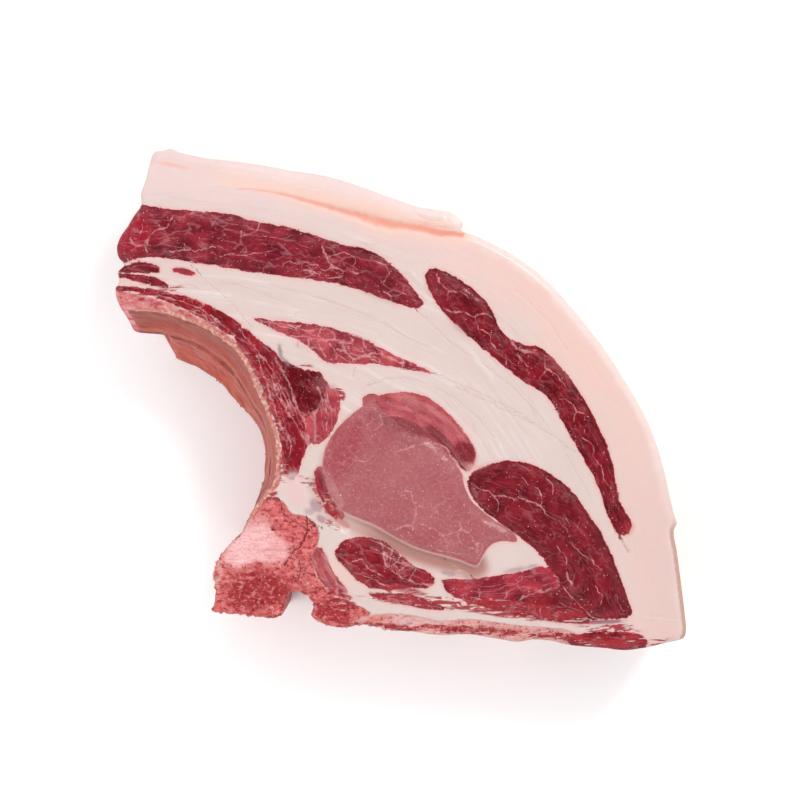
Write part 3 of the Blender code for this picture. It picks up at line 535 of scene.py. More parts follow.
def signed_distance(points, polygon, reach=8.0):
    """Distance to the polygon's edge, positive inside, for points within reach of it."""
    found = np.full(len(points), -reach)
    low, high = polygon.min(0) - reach, polygon.max(0) + reach
    near = ((points > low) & (points < high)).all(1)
    away = distance(points[near], polygon)
    found[near] = np.maximum(np.where(inside(points[near], polygon), away, -away), -reach)
    return found


def leaned(points, depth):
    """Where points of the cut face lie at this depth below it."""
    x, y = points.T
    share = depth / THICKNESS
    to_middle = np.array(CAVITY) - points
    away = np.linalg.norm(to_middle, axis=1)
    lean = WALL_LEAN[0] + (WALL_LEAN[1] - WALL_LEAN[0]) * smooth(y, *LEAN_LEVELS)
    held = smooth(y, *SPINE_FADE) * (1 - smooth(away, *LEAN_FADE))
    bulge = RIB_BULGE * (math.cos(2 * math.pi * depth / RIB_PITCH) - 1) / 2
    bulge *= 1 - smooth(away, *BULGE_FADE)
    moved = points + to_middle / away[:, None] * ((lean * share + bulge) * held)[:, None]
    shorter = RIB_STEP * smooth(depth, *RIB_STEP_DEPTH) * smooth(-x, *RIB_STEP_LEFT)
    moved[:, 0] += shorter * (1 - smooth(y, *RIB_STEP_TOP))
    return moved


def noise_at(points, size, level):
    """Smooth noise with bumps of this size, from one level of a pattern in space."""
    return np.array([noise.noise(Vector((x / size, y / size, level))) for x, y in points])


def bumps(points, forms):
    """The height of bumps given as (height, size, level of the noise)."""
    return sum(1.6 * height * noise_at(points, size, level) for height, size, level in forms)


def outward_ways(line):
    """The way out of a closed line that runs clockwise, one long, at each of its points."""
    ways = np.roll(line, -2, 0) - np.roll(line, 2, 0)
    outward = np.column_stack([-ways[:, 1], ways[:, 0]])
    return outward / np.linalg.norm(outward, axis=1)[:, None]


def lengths_to(line):
    """How far along an open line each of its points is."""
    return np.concatenate([[0], np.cumsum(np.linalg.norm(np.diff(line, axis=0), axis=1))])


def cap_outline(node):
    """The longest boundary of a CAD node's cut face, in order."""
    mesh = node.data
    ahead = set()
    for polygon in mesh.polygons:
        if polygon.normal.z > 0.5 and polygon.center.z > CUT_FACE_ABOVE:
            corners = [tuple(round(c * 1000, 2) for c in mesh.vertices[i].co) for i in polygon.vertices]
            ahead.update(zip(corners, corners[1:] + corners[:1], strict=True))
    after = {a: b for a, b in sorted(ahead) if (b, a) not in ahead}
    loops = []
    while after:
        start = next(iter(after))
        point = after.pop(start)
        loop = [start]
        while point != start and point in after:
            loop.append(point)
            point = after.pop(point)
        loops.append(loop)
    longest = max(loops, key=len)
    return np.array([p[:2] for p in longest]) - TO_MODEL


def triangulate(loop, loose):
    """Triangles inside the loop, over its points and the loose ones."""
    points = [Vector(p) for p in loop] + [Vector(p) for p in loose]
    edges = [(i, (i + 1) % len(loop)) for i in range(len(loop))]
    corners, _, triangles, *_ = delaunay_2d_cdt(points, edges, [], 1, 1e-4)
    corners = np.array([tuple(c) for c in corners])
    triangles = np.array(triangles)
    a, b, c = corners[triangles].transpose(1, 0, 2)
    turned = (b[:, 0] - a[:, 0]) * (c[:, 1] - a[:, 1]) - (b[:, 1] - a[:, 1]) * (c[:, 0] - a[:, 0])
    return corners, np.where((turned > 0)[:, None], triangles, triangles[:, ::-1])


def hexagonal_grid(polygon, spacing, clear):
    """Points of an even grid that are inside the polygon and this far from its edge."""
    low, high = polygon.min(0), polygon.max(0)
    rows = np.arange(low[1], high[1], spacing * math.sqrt(0.75))
    columns = np.arange(low[0], high[0], spacing)
    found = np.array([(x + (i % 2) * spacing / 2, y) for i, y in enumerate(rows) for x in columns])
    found = found[inside(found, polygon)]
    return found[distance(found, polygon) > clear]


class Surface:
    """What the cut face shows at a set of points."""

    def __init__(self, points, outlines, face):
        self.points = points
        self.edge = distance(points, face)
        self.depths = {name: signed_distance(points, line) for name, line in outlines.items()}
        self.channels = [np.max([self.depths[n] for n in names], axis=0) for names in CHANNELS]
        seams = [signed_distance(points, closed_curve(line, 1.5)) for line in SEAM_MEAT]
        self.channels[2] = np.max([self.channels[2], *seams], axis=0)
        self.loin = self.depths["loin_eye"]
        self.bone = np.max([self.depths[n] for n in BONES], axis=0)
        skin = face[: end_index(face, ZONE_ENDS[SKIN]) + 1]
        found = nearest(points, skin, closed=False)
        self.skin = np.linalg.norm(found[:, :2], axis=1)
        self.around = found[:, 2]
        self.grain_along, self.grain_across = self.grain()
        self.veins = self.lines(VEINS)
        self.creases = self.lines([(width, line) for width, _, line in CREASES])
        self.slit = self.slit_share()
        self.shade = self.overhang_shade()
        self.shreds = np.max([share * self.ellipse(*form) for *form, share in SHREDS], axis=0)
        self.tint = self.tints()
        self.meat = self.looks()

    def ellipse(self, x, y, long, wide, turn):
        """1 in the middle of an ellipse, 0 outside it, and an even fall between."""
        a = math.radians(turn)
        away = self.points - (x, y)
        u = (away[:, 0] * math.cos(a) + away[:, 1] * math.sin(a)) / long
        v = (away[:, 1] * math.cos(a) - away[:, 0] * math.sin(a)) / wide
        return 1 - smooth(np.hypot(u, v), 0.55, 1.25)

    def tints(self):
        """Red, green, blue and share of the patches."""
        total, colour, left = np.full(len(self.points), 1e-4), np.zeros((len(self.points), 3)), 1.0
        for *form, share, patch in PATCHES:
            weight = share * self.ellipse(*form)
            total += weight
            colour += weight[:, None] * np.array(seen(*patch))
            left = left * (1 - weight)
        return np.column_stack([colour / total[:, None], 1 - left])

    def lines(self, lines):
        """The way to the nearest line in half widths of it, and how far outside it the point is."""
        found = np.full((len(self.points), 3), FAR)
        for width, line in lines:
            line, width = wandering(line), LINE_WIDTH * width
            low, high = line.min(0) - LINE_REACH, line.max(0) + LINE_REACH
            near = np.flatnonzero(((self.points > low) & (self.points < high)).all(1))
            way = nearest(self.points[near], line, closed=False)[:, :2]
            outside = np.linalg.norm(way, axis=1) - width / 2
            closer = outside < found[near, 2]
            found[near[closer]] = np.column_stack([way / (width / 2), outside])[closer]
        return found

    def slit_share(self):
        """1 in the slit under the skin flap and less beside it, the same for the flap, and the way
        to the slit in half widths."""
        line = np.array([spot for _, spot in SLIT], float)
        widths = np.array([width for width, _ in SLIT])
        found = nearest(self.points, line, closed=False)
        width = np.interp(found[:, 2], lengths_to(line), widths)
        away = np.linalg.norm(found[:, :2], axis=1)
        share = 1 - smooth(away / width, 0.0, 2.4)
        inside_flap = (found[:, 3] < 0) & (self.points[:, 0] < 25)
        return np.column_stack([share, np.where(inside_flap, 1 - smooth(away, 0, 14), 0), away / width])

    def overhang_shade(self):
        """How far each point is in the shade under the loin's lower edge."""
        away = distance(self.points, np.array(OVERHANG, float), closed=False)
        return (1 - smooth(away, 2.6, 7.6)) * (1 - smooth(self.loin, -0.8, 0.3))

    def looks(self):
        """The surface colour of the nearest muscle or bone, and the share of fine veins in it."""
        names = list(LOOKS)
        best = np.array([self.depths[n] for n in names]).argmax(0)
        looks = np.array([(*seen(*LOOKS[n][:3]), LOOKS[n][3]) for n in names])
        return looks[best]

    def grain(self):
        """How far along and across the nearest grain line each point is.

        Each line's numbers are kept apart from the others', so that their patterns differ."""
        best = np.full(len(self.points), np.inf)
        along, across = np.zeros(len(self.points)), np.zeros(len(self.points))
        for i, line in enumerate(GRAIN):
            found = nearest(self.points, np.array(line, float), closed=False)
            away = np.linalg.norm(found[:, :2], axis=1)
            closer = away < best
            best = np.where(closer, away, best)
            along = np.where(closer, found[:, 2] + GRAIN_APART[0] * i, along)
            across = np.where(closer, away * np.sign(found[:, 3]) + GRAIN_APART[1] * i, across)
        return along, across

    def heights(self):
        """The height of the cut face over the floor."""
        p = self.points
        height = THICKNESS + bumps(p, FACE_BUMPS)
        for name, depth in self.depths.items():
            height += SWELL[name] * smooth(depth, -0.3, SWELL_WIDTH)
        lean = np.max([*self.channels, self.loin], axis=0)
        height += smooth(lean, -0.5, 1.5) * bumps(p, LEAN_BUMPS)
        height += smooth(self.bone, -0.5, 1.0) * bumps(p, BONE_BUMPS)
        height += self.shreds * bumps(p, SHRED_BUMPS)
        height -= OVERHANG_DEPTH * self.shade
        height -= SLIT_DEPTH * self.slit[:, 0] * smooth(p[:, 0], *SLIT_DEEPENS)
        deep = np.zeros(len(p))
        for width, depth, line in CREASES:
            away = distance(p, np.array(line, float), closed=False)
            deep = np.maximum(deep, depth * (1 - smooth(away, 0, 0.6 + width / 2)))
        height -= deep
        for depth, width in ROUNDING:
            height -= depth * (1 - smooth(self.edge, 0, width))
        return height


def ragged(face):
    """The outline with the small tatters of the sawn spine and the torn lining of the chest."""
    x, y = face.T
    torn = smooth(-x, -30, 10) * (1 - smooth(y, 28, 40)) * smooth(y, -99, -90)
    tatters = noise_at(face, 1.3, 4.0)
    ragged_edge = 0.8 * tatters + 0.8 * np.maximum(tatters - 0.25, 0)
    torn *= 1 + 0.8 * (1 - smooth(y, -62, -50)) * (1 - smooth(x, -60, -50))
    return face + outward_ways(face) * (ragged_edge * torn)[:, None]


def end_index(line, spot):
    """The index of the line's point that is nearest to the spot."""
    return int(((line - np.array(spot)) ** 2).sum(1).argmin())


def node_outlines():
    """The outlines of the CAD's muscles and bones on the cut face."""
    names = [name for group in (*CHANNELS, BONES, ("loin_eye",)) for name in group]
    return {name: closed_curve(cap_outline(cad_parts[name]), NODE_STEP) for name in names}


def points_beside(clean_face, face, zones):
    """Where on the cut face each ring of the sides takes its looks from.

    The points lie just inside the outline and sway along it, so that the layers in the sides
    aren't straight."""
    outward = outward_ways(face)
    along = np.column_stack([-outward[:, 1], outward[:, 0]])
    amounts = np.where(zones == SPINE, SPINE_SWAY, SWAY)
    rings = []
    for depth in WALL_DEPTHS[1:]:
        sway = amounts * noise_at(face, 14, depth / 11) * smooth(depth, 1, 10)
        rings.append(clean_face - outward * BESIDE + along * sway[:, None])
    return rings


def put_attributes(mesh, surfaces, side):
    """Gives each point what its spot on the cut face shows, for the materials."""
    for name, kind, values in (
        ("lean", "FLOAT_VECTOR", lambda s: np.column_stack(s.channels)),
        ("hard", "FLOAT_VECTOR", lambda s: np.column_stack([s.loin, s.bone, s.edge])),
        ("grain", "FLOAT_VECTOR", lambda s: np.column_stack([s.grain_along, s.grain_across, s.edge])),
        ("layer", "FLOAT_VECTOR", lambda s: np.column_stack([s.skin, s.around, s.shade])),
        ("veins", "FLOAT_VECTOR", lambda s: s.veins),
        ("creases", "FLOAT_VECTOR", lambda s: s.creases),
        ("slit", "FLOAT_VECTOR", lambda s: s.slit),
        ("meat", "FLOAT_COLOR", lambda s: s.meat),
        ("shreds", "FLOAT_VECTOR", lambda s: np.column_stack([s.shreds, s.points])),
        ("tint", "FLOAT_COLOR", lambda s: s.tint),
    ):
        data = mesh.attributes.new(name, kind, "POINT").data
        found = np.concatenate([values(surface) for surface in surfaces])
        data.foreach_set("color" if kind == "FLOAT_COLOR" else "vector", found.ravel())
    mesh.attributes.new("side", "FLOAT_VECTOR", "POINT").data.foreach_set("vector", side.ravel())


def build_mesh():
    """The steak: the cut face, rings of points down the sides, and the back face."""
    clean_face = closed_curve(FACE, RIM_STEP)
    face = ragged(clean_face)
    outlines = node_outlines()
    top, top_faces = triangulate(face, hexagonal_grid(face, GRID, 0.6 * GRID))
    back, back_faces = triangulate(face, hexagonal_grid(face, BACK_GRID, 0.5 * BACK_GRID))
    rim = len(face)
    breaks = [end_index(face, spot) for spot in ZONE_ENDS]
    zones = np.searchsorted(breaks, np.arange(rim), side="right")
    outward = outward_ways(face)

    rings = points_beside(clean_face, face, zones)
    base_points = np.concatenate([rings[-1], back[rim:]])
    sets = (top, np.concatenate(rings), base_points)
    surfaces = [Surface(points, outlines, face) for points in sets]
    heights = surfaces[0].heights()

    spots = [np.column_stack([top, heights])]
    faces = [top_faces]
    slots = [np.zeros(len(top_faces), int)]
    wall_slots = np.array(ZONE_MATERIALS)[zones]
    above = np.arange(rim)
    count = len(top)
    for depth in WALL_DEPTHS[1:]:
        edge = clean_face + (face - clean_face) * (1 - smooth(depth, 0.3, 4))
        ring = leaned(edge, depth) + outward * wall_relief(face, zones, depth)[:, None]
        spots.append(np.column_stack([ring, heights[:rim] * (1 - depth / THICKNESS)]))
        below = np.arange(count, count + rim)
        faces += wall_faces(above, below)
        slots += [wall_slots, wall_slots]
        above = below
        count += rim
    base = np.column_stack([leaned(back, THICKNESS), np.zeros(len(back))])
    base[:rim, :2] -= outward * BASE_EDGE
    spots.append(base)
    faces += wall_faces(above, np.arange(count, count + rim))
    slots += [wall_slots, wall_slots]
    faces.append(back_faces[:, ::-1] + count)
    slots.append(np.zeros(len(back_faces), int))

    # for the sides: the way around the outline, and the depth
    side = np.zeros((count + len(back), 3))
    rim_place = np.cumsum(np.linalg.norm(np.roll(face, -1, 0) - face, axis=1))
    for i, depth in enumerate((*WALL_DEPTHS, THICKNESS)):
        begin = len(top) + (i - 1) * rim if i else 0
        side[begin : begin + rim, 0] = rim_place
        side[begin : begin + rim, 1] = depth
    side[count:, 1] = THICKNESS

    spots, faces = np.concatenate(spots), np.concatenate(faces)
    spots[:, :2] += TO_MODEL
    mesh = bpy.data.meshes.new("steak")
    mesh.from_pydata((spots / 1000).tolist(), [], faces.tolist())
    mesh.polygons.foreach_set("material_index", np.concatenate(slots))
    mesh.polygons.foreach_set("use_smooth", np.ones(len(faces), bool))
    put_attributes(mesh, surfaces, side)
    mesh.update()
    steak = bpy.data.objects.new("steak", mesh)
    bpy.context.scene.collection.objects.link(steak)
    return steak


def wall_faces(above, below):
    """Two triangles for each side of the ring; the outline runs clockwise seen from above."""
    next_above, next_below = np.roll(above, -1), np.roll(below, -1)
    return [
        np.column_stack([above, next_above, next_below]),
        np.column_stack([above, next_below, below]),
    ]


def wall_relief(face, zones, depth):
    """How far the side of the slab stands out at this depth, at each point of its outline."""
    broad = np.array(ZONE_RELIEF)[zones]
    ribbed = 2.6 * noise_at(face, 16, depth / 3.5)
    fine = np.where(zones == CHEST, ribbed, noise_at(face, 2.5, depth / 5))
    relief = noise_at(face, 9, depth / 9) * broad + fine * 0.25 * (zones != SKIN)
    return relief * smooth(depth, 0, 3)


class Value:
    """An output of a node. Sums with it make further nodes."""

    def __init__(self, shader, socket):
        self.shader, self.socket = shader, socket

    def __add__(self, other):
        return self.shader.math("ADD", self, other)

    __radd__ = __add__

    def __sub__(self, other):
        return self.shader.math("SUBTRACT", self, other)

    def __rsub__(self, other):
        return self.shader.math("SUBTRACT", other, self)

    def __mul__(self, other):
        return self.shader.math("MULTIPLY", self, other)

    def __abs__(self):
        return self.shader.math("ABSOLUTE", self)

    def other(self, output):
        """Another output of the same node."""
        return Value(self.shader, self.socket.node.outputs[output])

    def rise(self, low, high, start=0, end=1):
        """From start, where the value is at low, to end, where it is at high, and level beyond."""
        given = (self, low, high, start, end)
        return self.shader.node("MapRange", 0, *given, interpolation_type="SMOOTHSTEP")


class Shader:
    """Builds one node material. What nodes are given is numbers, colours or Values."""

    def __init__(self, name):
        self.material = bpy.data.materials.new(name)
        self.material.use_nodes = True
        self.tree = self.material.node_tree
        self.tree.nodes.clear()
        output = self.tree.nodes.new("ShaderNodeOutputMaterial")
        self.surface = self.tree.nodes.new("ShaderNodeBsdfPrincipled")
        self.tree.links.new(self.surface.outputs[0], output.inputs[0])
        self.colour = None

    def set(self, socket, value):
        if isinstance(value, Value):
            self.tree.links.new(value.socket, socket)
        elif isinstance(value, tuple) and socket.type == "RGBA":
            socket.default_value = (*value, 1)
        else:
            socket.default_value = value

    def node(self, kind, output, *values, named=None, **settings):
        """One output of a new node, whose first inputs and named inputs are set to the values."""
        node = self.tree.nodes.new("ShaderNode" + kind)
        for setting, value in settings.items():
            setattr(node, setting, value)
        for socket, value in zip(node.inputs, values, strict=False):
            self.set(socket, value)
        for name, value in (named or {}).items():
            self.set(node.inputs[name], value)
        return Value(self, node.outputs[output])

    def math(self, operation, *values):
        return self.node("Math", 0, *values, operation=operation)

    def most(self, first, *rest):
        for value in rest:
            first = self.math("MAXIMUM", first, value)
        return first

    def mix(self, share, a, b, how="MIX"):
        node = self.tree.nodes.new("ShaderNodeMix")
        node.data_type, node.blend_type = "RGBA", how
        self.set(node.inputs["Factor"], share)
        self.set(node.inputs[6], a)
        self.set(node.inputs[7], b)
        return Value(self, node.outputs[2])

    def varied(self, meat, share, low, high):
        """The meat's colour times one that varies from low to high."""
        return self.mix(1.0, meat, self.mix(share, low, high), "MULTIPLY")

    def lay(self, share, colour):
        """Puts a colour over the material's own. A tuple is a colour as it is seen."""
        colour = seen(*colour) if isinstance(colour, tuple) else colour
        self.colour = self.mix(share, self.colour, colour)

    def attribute(self, name):
        return self.node("Attribute", "Vector", attribute_name=name)

    def paint(self, name):
        """A colour attribute and its fourth value."""
        colour = self.attribute(name).other("Color")
        return colour, colour.other("Alpha")

    def split(self, vector):
        first = self.node("SeparateXYZ", 0, vector)
        return first, first.other(1), first.other(2)

    def join(self, x, y, z):
        return self.node("CombineXYZ", 0, x, y, z)

    def length(self, vector):
        """The length of the vector's first two parts."""
        x, y, _ = self.split(vector)
        return self.math("SQRT", x * x + y * y)

    def vector(self, operation, a, b):
        if operation == "SCALE":
            return self.node("VectorMath", 0, a, named={"Scale": b}, operation=operation)
        return self.node("VectorMath", 0, a, b, operation=operation)

    def place(self):
        """Position in millimetres."""
        return self.vector("SCALE", self.node("TexCoord", "Object"), 1000.0)

    def noise(self, vector, size, detail=2, roughness=0.5, output="Fac"):
        """Noise from 0 to 1 with bumps of this size in millimetres."""
        named = {"Vector": vector, "Scale": 1 / size, "Detail": detail, "Roughness": roughness}
        return self.node("TexNoise", output, named=named)

    def cells(self, vector, size, feature="DISTANCE_TO_EDGE"):
        """The distance from the edges, or from the middle, of random cells of this size."""
        named = {"Vector": vector, "Scale": 1 / size}
        return self.node("TexVoronoi", "Distance", named=named, feature=feature)

    def bent(self, vector, size, amount):
        """The vector moved about by noise of this size, by up to this many millimetres."""
        moves = self.vector("SUBTRACT", self.noise(vector, size, output="Color"), (0.5, 0.5, 0.5))
        return self.vector("ADD", vector, self.vector("SCALE", moves, 2.0 * amount))

    def bump(self, height, depth):
        """A height map as a normal; the depth is in millimetres."""
        named = {"Strength": 1, "Distance": depth / 1000, "Height": height}
        return self.node("Bump", 0, named=named)

    def finish(self, roughness, normal, coat=0.18):
        """Raw meat and fat, wet on top and a little translucent."""
        for name, value in (
            ("Base Color", self.colour),
            ("Roughness", roughness),
            ("Normal", normal),
            ("Subsurface Weight", 0.35),
            ("Subsurface Radius", (1.0, 0.35, 0.25)),
            ("Subsurface Scale", 0.45 / 1000),
            ("Specular IOR Level", 0.08),
            ("Coat Weight", coat),
            ("Coat Roughness", 0.09),
        ):
            self.set(self.surface.inputs[name], value)
        return self.material


def cut_face_material():
    """The fat, then the meat, the bone, the veins and the cuts, each laid over the ones before."""
    s = Shader("cut_face")
    place = s.place()
    lean_a, lean_b, lean_c = s.split(s.attribute("lean"))
    loin, bone, edge = s.split(s.attribute("hard"))
    along, across, _ = s.split(s.attribute("grain"))
    skin, around, shade = s.split(s.attribute("layer"))
    slit, flap, slit_way = s.split(s.attribute("slit"))
    shreds, x, y = s.split(s.attribute("shreds"))
    meat, vein_share = s.paint("meat")
    tint, tint_share = s.paint("tint")
    height = s.split(place)[2]
    grain = s.join(along * 0.33, across, height)
    level = s.join(x * 0.16, y, height)

    wobble = s.noise(place, 3, 3) * 1.5 - 0.75
    fray = s.noise(place, 0.9, 3) * 0.9 - 0.45
    tongues = s.noise(grain, 1.5, 2) * 1.6 - 0.65
    dark = s.most(lean_a, lean_b, lean_c) + wobble * 0.6 + fray + tongues
    is_dark = dark.rise(-0.15, 0.25)
    is_loin = (loin + wobble * 0.4).rise(-0.2, 0.3)
    is_bone = (bone + wobble * 0.8 + fray).rise(-0.4, 0.4)

    # fat
    near_skin = (skin + s.noise(place, 14, 3) * 12).rise(12, 36, 1, 0)
    s.colour = s.mix(s.noise(place, 16, 4), seen(0.78, 0.62, 0.585), seen(0.83, 0.7, 0.665))
    s.lay(near_skin, s.mix(x.rise(-30, 60), seen(0.9, 0.7, 0.68), seen(0.92, 0.65, 0.59)))
    s.lay(y.rise(20, -70) * near_skin, (0.84, 0.62, 0.58))
    flow = s.bent(s.join(around * 0.05, skin, height), 8, 3)
    streaks = s.noise(flow, 2.4, 4, 0.55)
    inner_fat = skin.rise(14, 24) * x.rise(70, 40) * y.rise(-45, -15)
    inner_fat *= s.noise(place, 15, 2).rise(0.35, 0.6, 0.3, 1)
    s.lay(streaks.rise(0.54, 0.64, 0, 0.55) * inner_fat, (0.92, 0.82, 0.79))
    s.lay(streaks.rise(0.45, 0.34, 0, 0.2) * inner_fat, (0.72, 0.52, 0.48))
    sheets = abs(s.noise(flow, 7.5, 2) - 0.5).rise(0.01, 0)
    s.lay(sheets * inner_fat * 0.4, (0.66, 0.44, 0.39))
    under_skin = (skin + s.noise(place, 9, 2) * 5).rise(8, 3.5) * x.rise(5, 30)
    s.lay(under_skin * y.rise(-50, -10, 0.2, 0.7), (0.98, 0.84, 0.8))
    rind = (skin + fray * 1.6).rise(2.2, 1.2) * y.rise(-46, -54)
    s.lay(rind * 0.85, (0.6, 0.34, 0.26))
    peach = s.mix(skin.rise(1.5, 7.5), seen(1.0, 0.86, 0.82), seen(0.98, 0.71, 0.62))
    s.lay(flap * x.rise(-100, -60, 0.5, 1), peach)
    mottle = s.noise(place, 2.6, 3, 0.6)
    s.lay(mottle.rise(0.35, 0.65, 0.14, 0), (0.86, 0.56, 0.52))

    # meat
    patch = s.noise(place, 7, 3)
    fibres = s.noise(grain, 0.75, 3, 0.65)
    loin_grain = s.noise(place, 1.3, 4, 0.65)
    deep = s.mix(patch.rise(0.25, 0.75), (0.5, 0.3, 0.42), (1.32, 1.3, 1.2))
    deep = s.mix(s.split(meat)[1].rise(0.06, 0.12, 0, 0.65), deep, (1.0, 1.0, 1.0))
    dark_meat = s.mix(1.0, meat, deep, "MULTIPLY")
    loin_meat = s.varied(meat, s.noise(place, 11, 3), (0.86, 0.68, 0.72), (1.14, 1.32, 1.22))

    # sawn bone
    sponge = s.noise(s.bent(place, 2, 1), 1.3, 4, 0.7)
    saw = s.noise(s.join(x * 0.12, y * 1.1, height), 0.8, 2)
    grit = s.noise(s.bent(s.join(x * 0.6, y, height), 2, 1.2), 1.5, 3, 0.6)
    sawn = s.varied(meat, s.noise(place, 6, 3), (0.85, 0.55, 0.57), (1.3, 1.5, 1.45))

    # all of it over the fat, with a pink haze beside the meat, then the patches
    bleed = s.most(dark, loin).rise(-1.5, -0.1) * 0.5
    s.lay(bleed, (0.92, 0.46, 0.44))
    s.lay(is_dark, dark_meat)
    s.lay(is_loin, loin_meat)
    s.lay(is_bone, sawn)
    ragged = (tint_share + wobble * 0.35).rise(0.15, 0.75)
    s.lay(s.most(tint_share * 0.5, ragged * tint_share), tint)

    # red shreds of meat and white ones of fat
    strips = s.noise(s.bent(level, 3, 1.2), 1.5, 4, 0.6)
    red_strip = (strips + shreds * 0.12).rise(0.53, 0.64) * shreds.rise(0.05, 0.6)
    s.lay(red_strip * 0.95, (0.42, 0.03, 0.042))
    white_strip = strips.rise(0.42, 0.34, 0, 0.8) * shreds.rise(0.1, 0.7)
    s.lay(white_strip, (0.86, 0.62, 0.58))

    # the torn pale lining along the chest cavity
    beside = x.rise(-30, -34) * y.rise(-52, -46) * y.rise(37, 35)
    lining = (edge + fray * 1.6).rise(1.9, 0.9) * beside
    tatters = s.noise(place, 1.7, 3).rise(0.44, 0.66)
    threads = s.mix(tatters, seen(0.68, 0.23, 0.17), seen(0.93, 0.58, 0.48))
    is_bone *= 1 - lining
    is_dark *= 1 - lining
    s.lay(lining * 0.9, threads)

    # grain, bundles and marbling of the dark meat
    broad = s.noise(s.bent(s.join(along * 0.16, across, height), 3, 1.2), 1.9, 3)
    pale_meat = is_dark * s.split(meat)[1].rise(0.05, 0.09) * (1 - tint_share * 0.85)
    s.lay(pale_meat * broad.rise(0.52, 0.64, 0, 0.55), (0.7, 0.27, 0.28))
    s.lay(pale_meat * broad.rise(0.48, 0.36, 0, 0.55), (0.38, 0.05, 0.068))
    s.lay(is_dark * fibres.rise(0.5, 0.74, 0, 0.5), (0.4, 0.042, 0.06))
    bundles = s.cells(s.bent(grain, 1.6, 0.7), 1.9)
    bundle_edge = bundles.rise(0.1, 0) * s.noise(place, 5, 2).rise(0.42, 0.6)
    s.lay(bundle_edge * is_dark * 0.3, (0.52, 0.11, 0.14))
    flecks = s.noise(s.bent(grain, 2, 0.9), 1.5, 3, 0.6)
    flecked = (flecks + s.noise(place, 10, 2) * 0.16).rise(0.66, 0.74)
    s.lay(flecked * vein_share * is_dark * 0.6, (0.66, 0.22, 0.25))
    s.lay(is_dark * fibres.rise(0.46, 0.3, 0, 0.45), (0.13, 0.008, 0.014))
    net = s.cells(s.bent(grain, 2.6, 1.5), 4.2)
    wide = s.noise(place, 6, 3).rise(0.6, 0.34, 0, 0.1)
    veined = net.rise(0, wide, 1, 0) * vein_share * is_dark
    s.lay(veined * 0.8, (0.74, 0.36, 0.37))

    # and of the loin, with its painted glints
    s.lay(is_loin * loin_grain.rise(0.46, 0.72, 0, 0.36), (0.64, 0.27, 0.28))
    s.lay(is_loin * loin_grain.rise(0.46, 0.28, 0, 0.3), (0.38, 0.075, 0.1))
    bundles = s.cells(s.bent(place, 1.6, 0.7), 1.7)
    bundle_edge = bundles.rise(0.12, 0) * s.noise(place, 4, 2).rise(0.4, 0.6)
    s.lay(bundle_edge * is_loin * 0.2, (0.68, 0.31, 0.32))
    glints = s.noise(s.bent(place, 1.4, 0.7), 1, 2, 0.6)
    glints = glints.rise(0.66, 0.74) * s.noise(place, 7, 2).rise(0.42, 0.58)
    s.lay(glints * is_loin * 0.75, (0.86, 0.6, 0.62))
    loin_net = s.cells(s.bent(place, 4, 2.2), 7)
    loin_veins = loin_net.rise(0, s.noise(place, 9, 2).rise(0.45, 0.7, 0, 0.05), 1, 0)
    s.lay(loin_veins * is_loin * 0.25, (0.72, 0.38, 0.36))

    # bright specks: tiny flecks of fat, and painted wet highlights
    spots = s.cells(s.bent(place, 1, 0.6), 1.25, "F1")
    chosen = s.split(spots.other("Color"))[0].rise(0.58, 0.62)
    chosen *= s.noise(place, 6, 2).rise(0.4, 0.58, 0.15, 1)
    fleck_and_painted_glint = spots.rise(0.19, 0.1) * chosen
    s.lay(fleck_and_painted_glint * s.most(is_dark, is_loin) * 0.75, (0.9, 0.68, 0.7))

    # marrow in the rib, and pits, grit and saw marks in the spine
    pale = s.split(s.colour)[1].rise(0.22, 0.36)
    raw_bone = is_bone * (1 - pale * 0.8)
    on_rib = y.rise(-30, -24)
    raw_bone *= 1 - on_rib * 0.9
    on_rib *= is_bone
    marrow = s.noise(s.bent(grain, 3, 1.5), 2.6, 3)
    s.lay(marrow.rise(0.5, 0.62) * on_rib * 0.8, (0.5, 0.06, 0.09))
    s.lay(marrow.rise(0.46, 0.36) * on_rib * 0.7, (0.88, 0.56, 0.54))
    s.lay(raw_bone * grit.rise(0.5, 0.36, 0, 0.85), (0.42, 0.018, 0.026))
    pits = sponge.rise(0.46, 0.36, 0, y.rise(-60, -68, 0.5, 0.85))
    s.lay(raw_bone * pits, (0.22, 0.008, 0.014))
    s.lay(is_bone * grit.rise(0.55, 0.64, 0, 0.6), (0.93, 0.32, 0.31))
    s.lay(is_bone * sponge.rise(0.58, 0.68, 0, 0.65), (0.97, 0.66, 0.62))
    s.lay(is_bone * pale * saw.rise(0.52, 0.62, 0, 0.45), (0.98, 0.74, 0.72))
    s.lay(is_bone * pale * saw.rise(0.46, 0.36, 0, 0.45), (0.84, 0.34, 0.34))

    # veins along the listed lines
    way = s.attribute("veins")
    outside = s.split(way)[2]
    way = s.vector("ADD", way, s.vector("SCALE", s.noise(place, 1.7, output="Color"), 2.6))
    way = s.vector("SUBTRACT", way, (1.3, 1.3, 1.3))
    thin = s.noise(place, 3.4, 2).rise(0.36, 0.62, 2, 0.65)
    vein = (s.length(way) * thin + fray * 1.2).rise(1.5, 0.1)
    vein *= outside.rise(0.75, 1.05, 1, 0)
    vein *= s.noise(place, 2.6, 2).rise(0.34, 0.6, 0.25, 1)
    s.lay(vein * 0.8, (0.76, 0.36, 0.36))

    # the slit under the skin flap
    raw = (slit + wobble * 0.5 + fray * 0.3).rise(0.25, 1.05)
    raw *= x.rise(-72, -30, 0.75, 1)
    coral = s.mix(x.rise(-50, 10), seen(0.95, 0.46, 0.37), seen(0.96, 0.4, 0.3))
    glow = slit_way.rise(6.5, 0.5, 0, 0.75) * x.rise(-80, -40)
    s.lay(glow, (0.97, 0.66, 0.56))
    s.lay(raw * 0.9, coral)

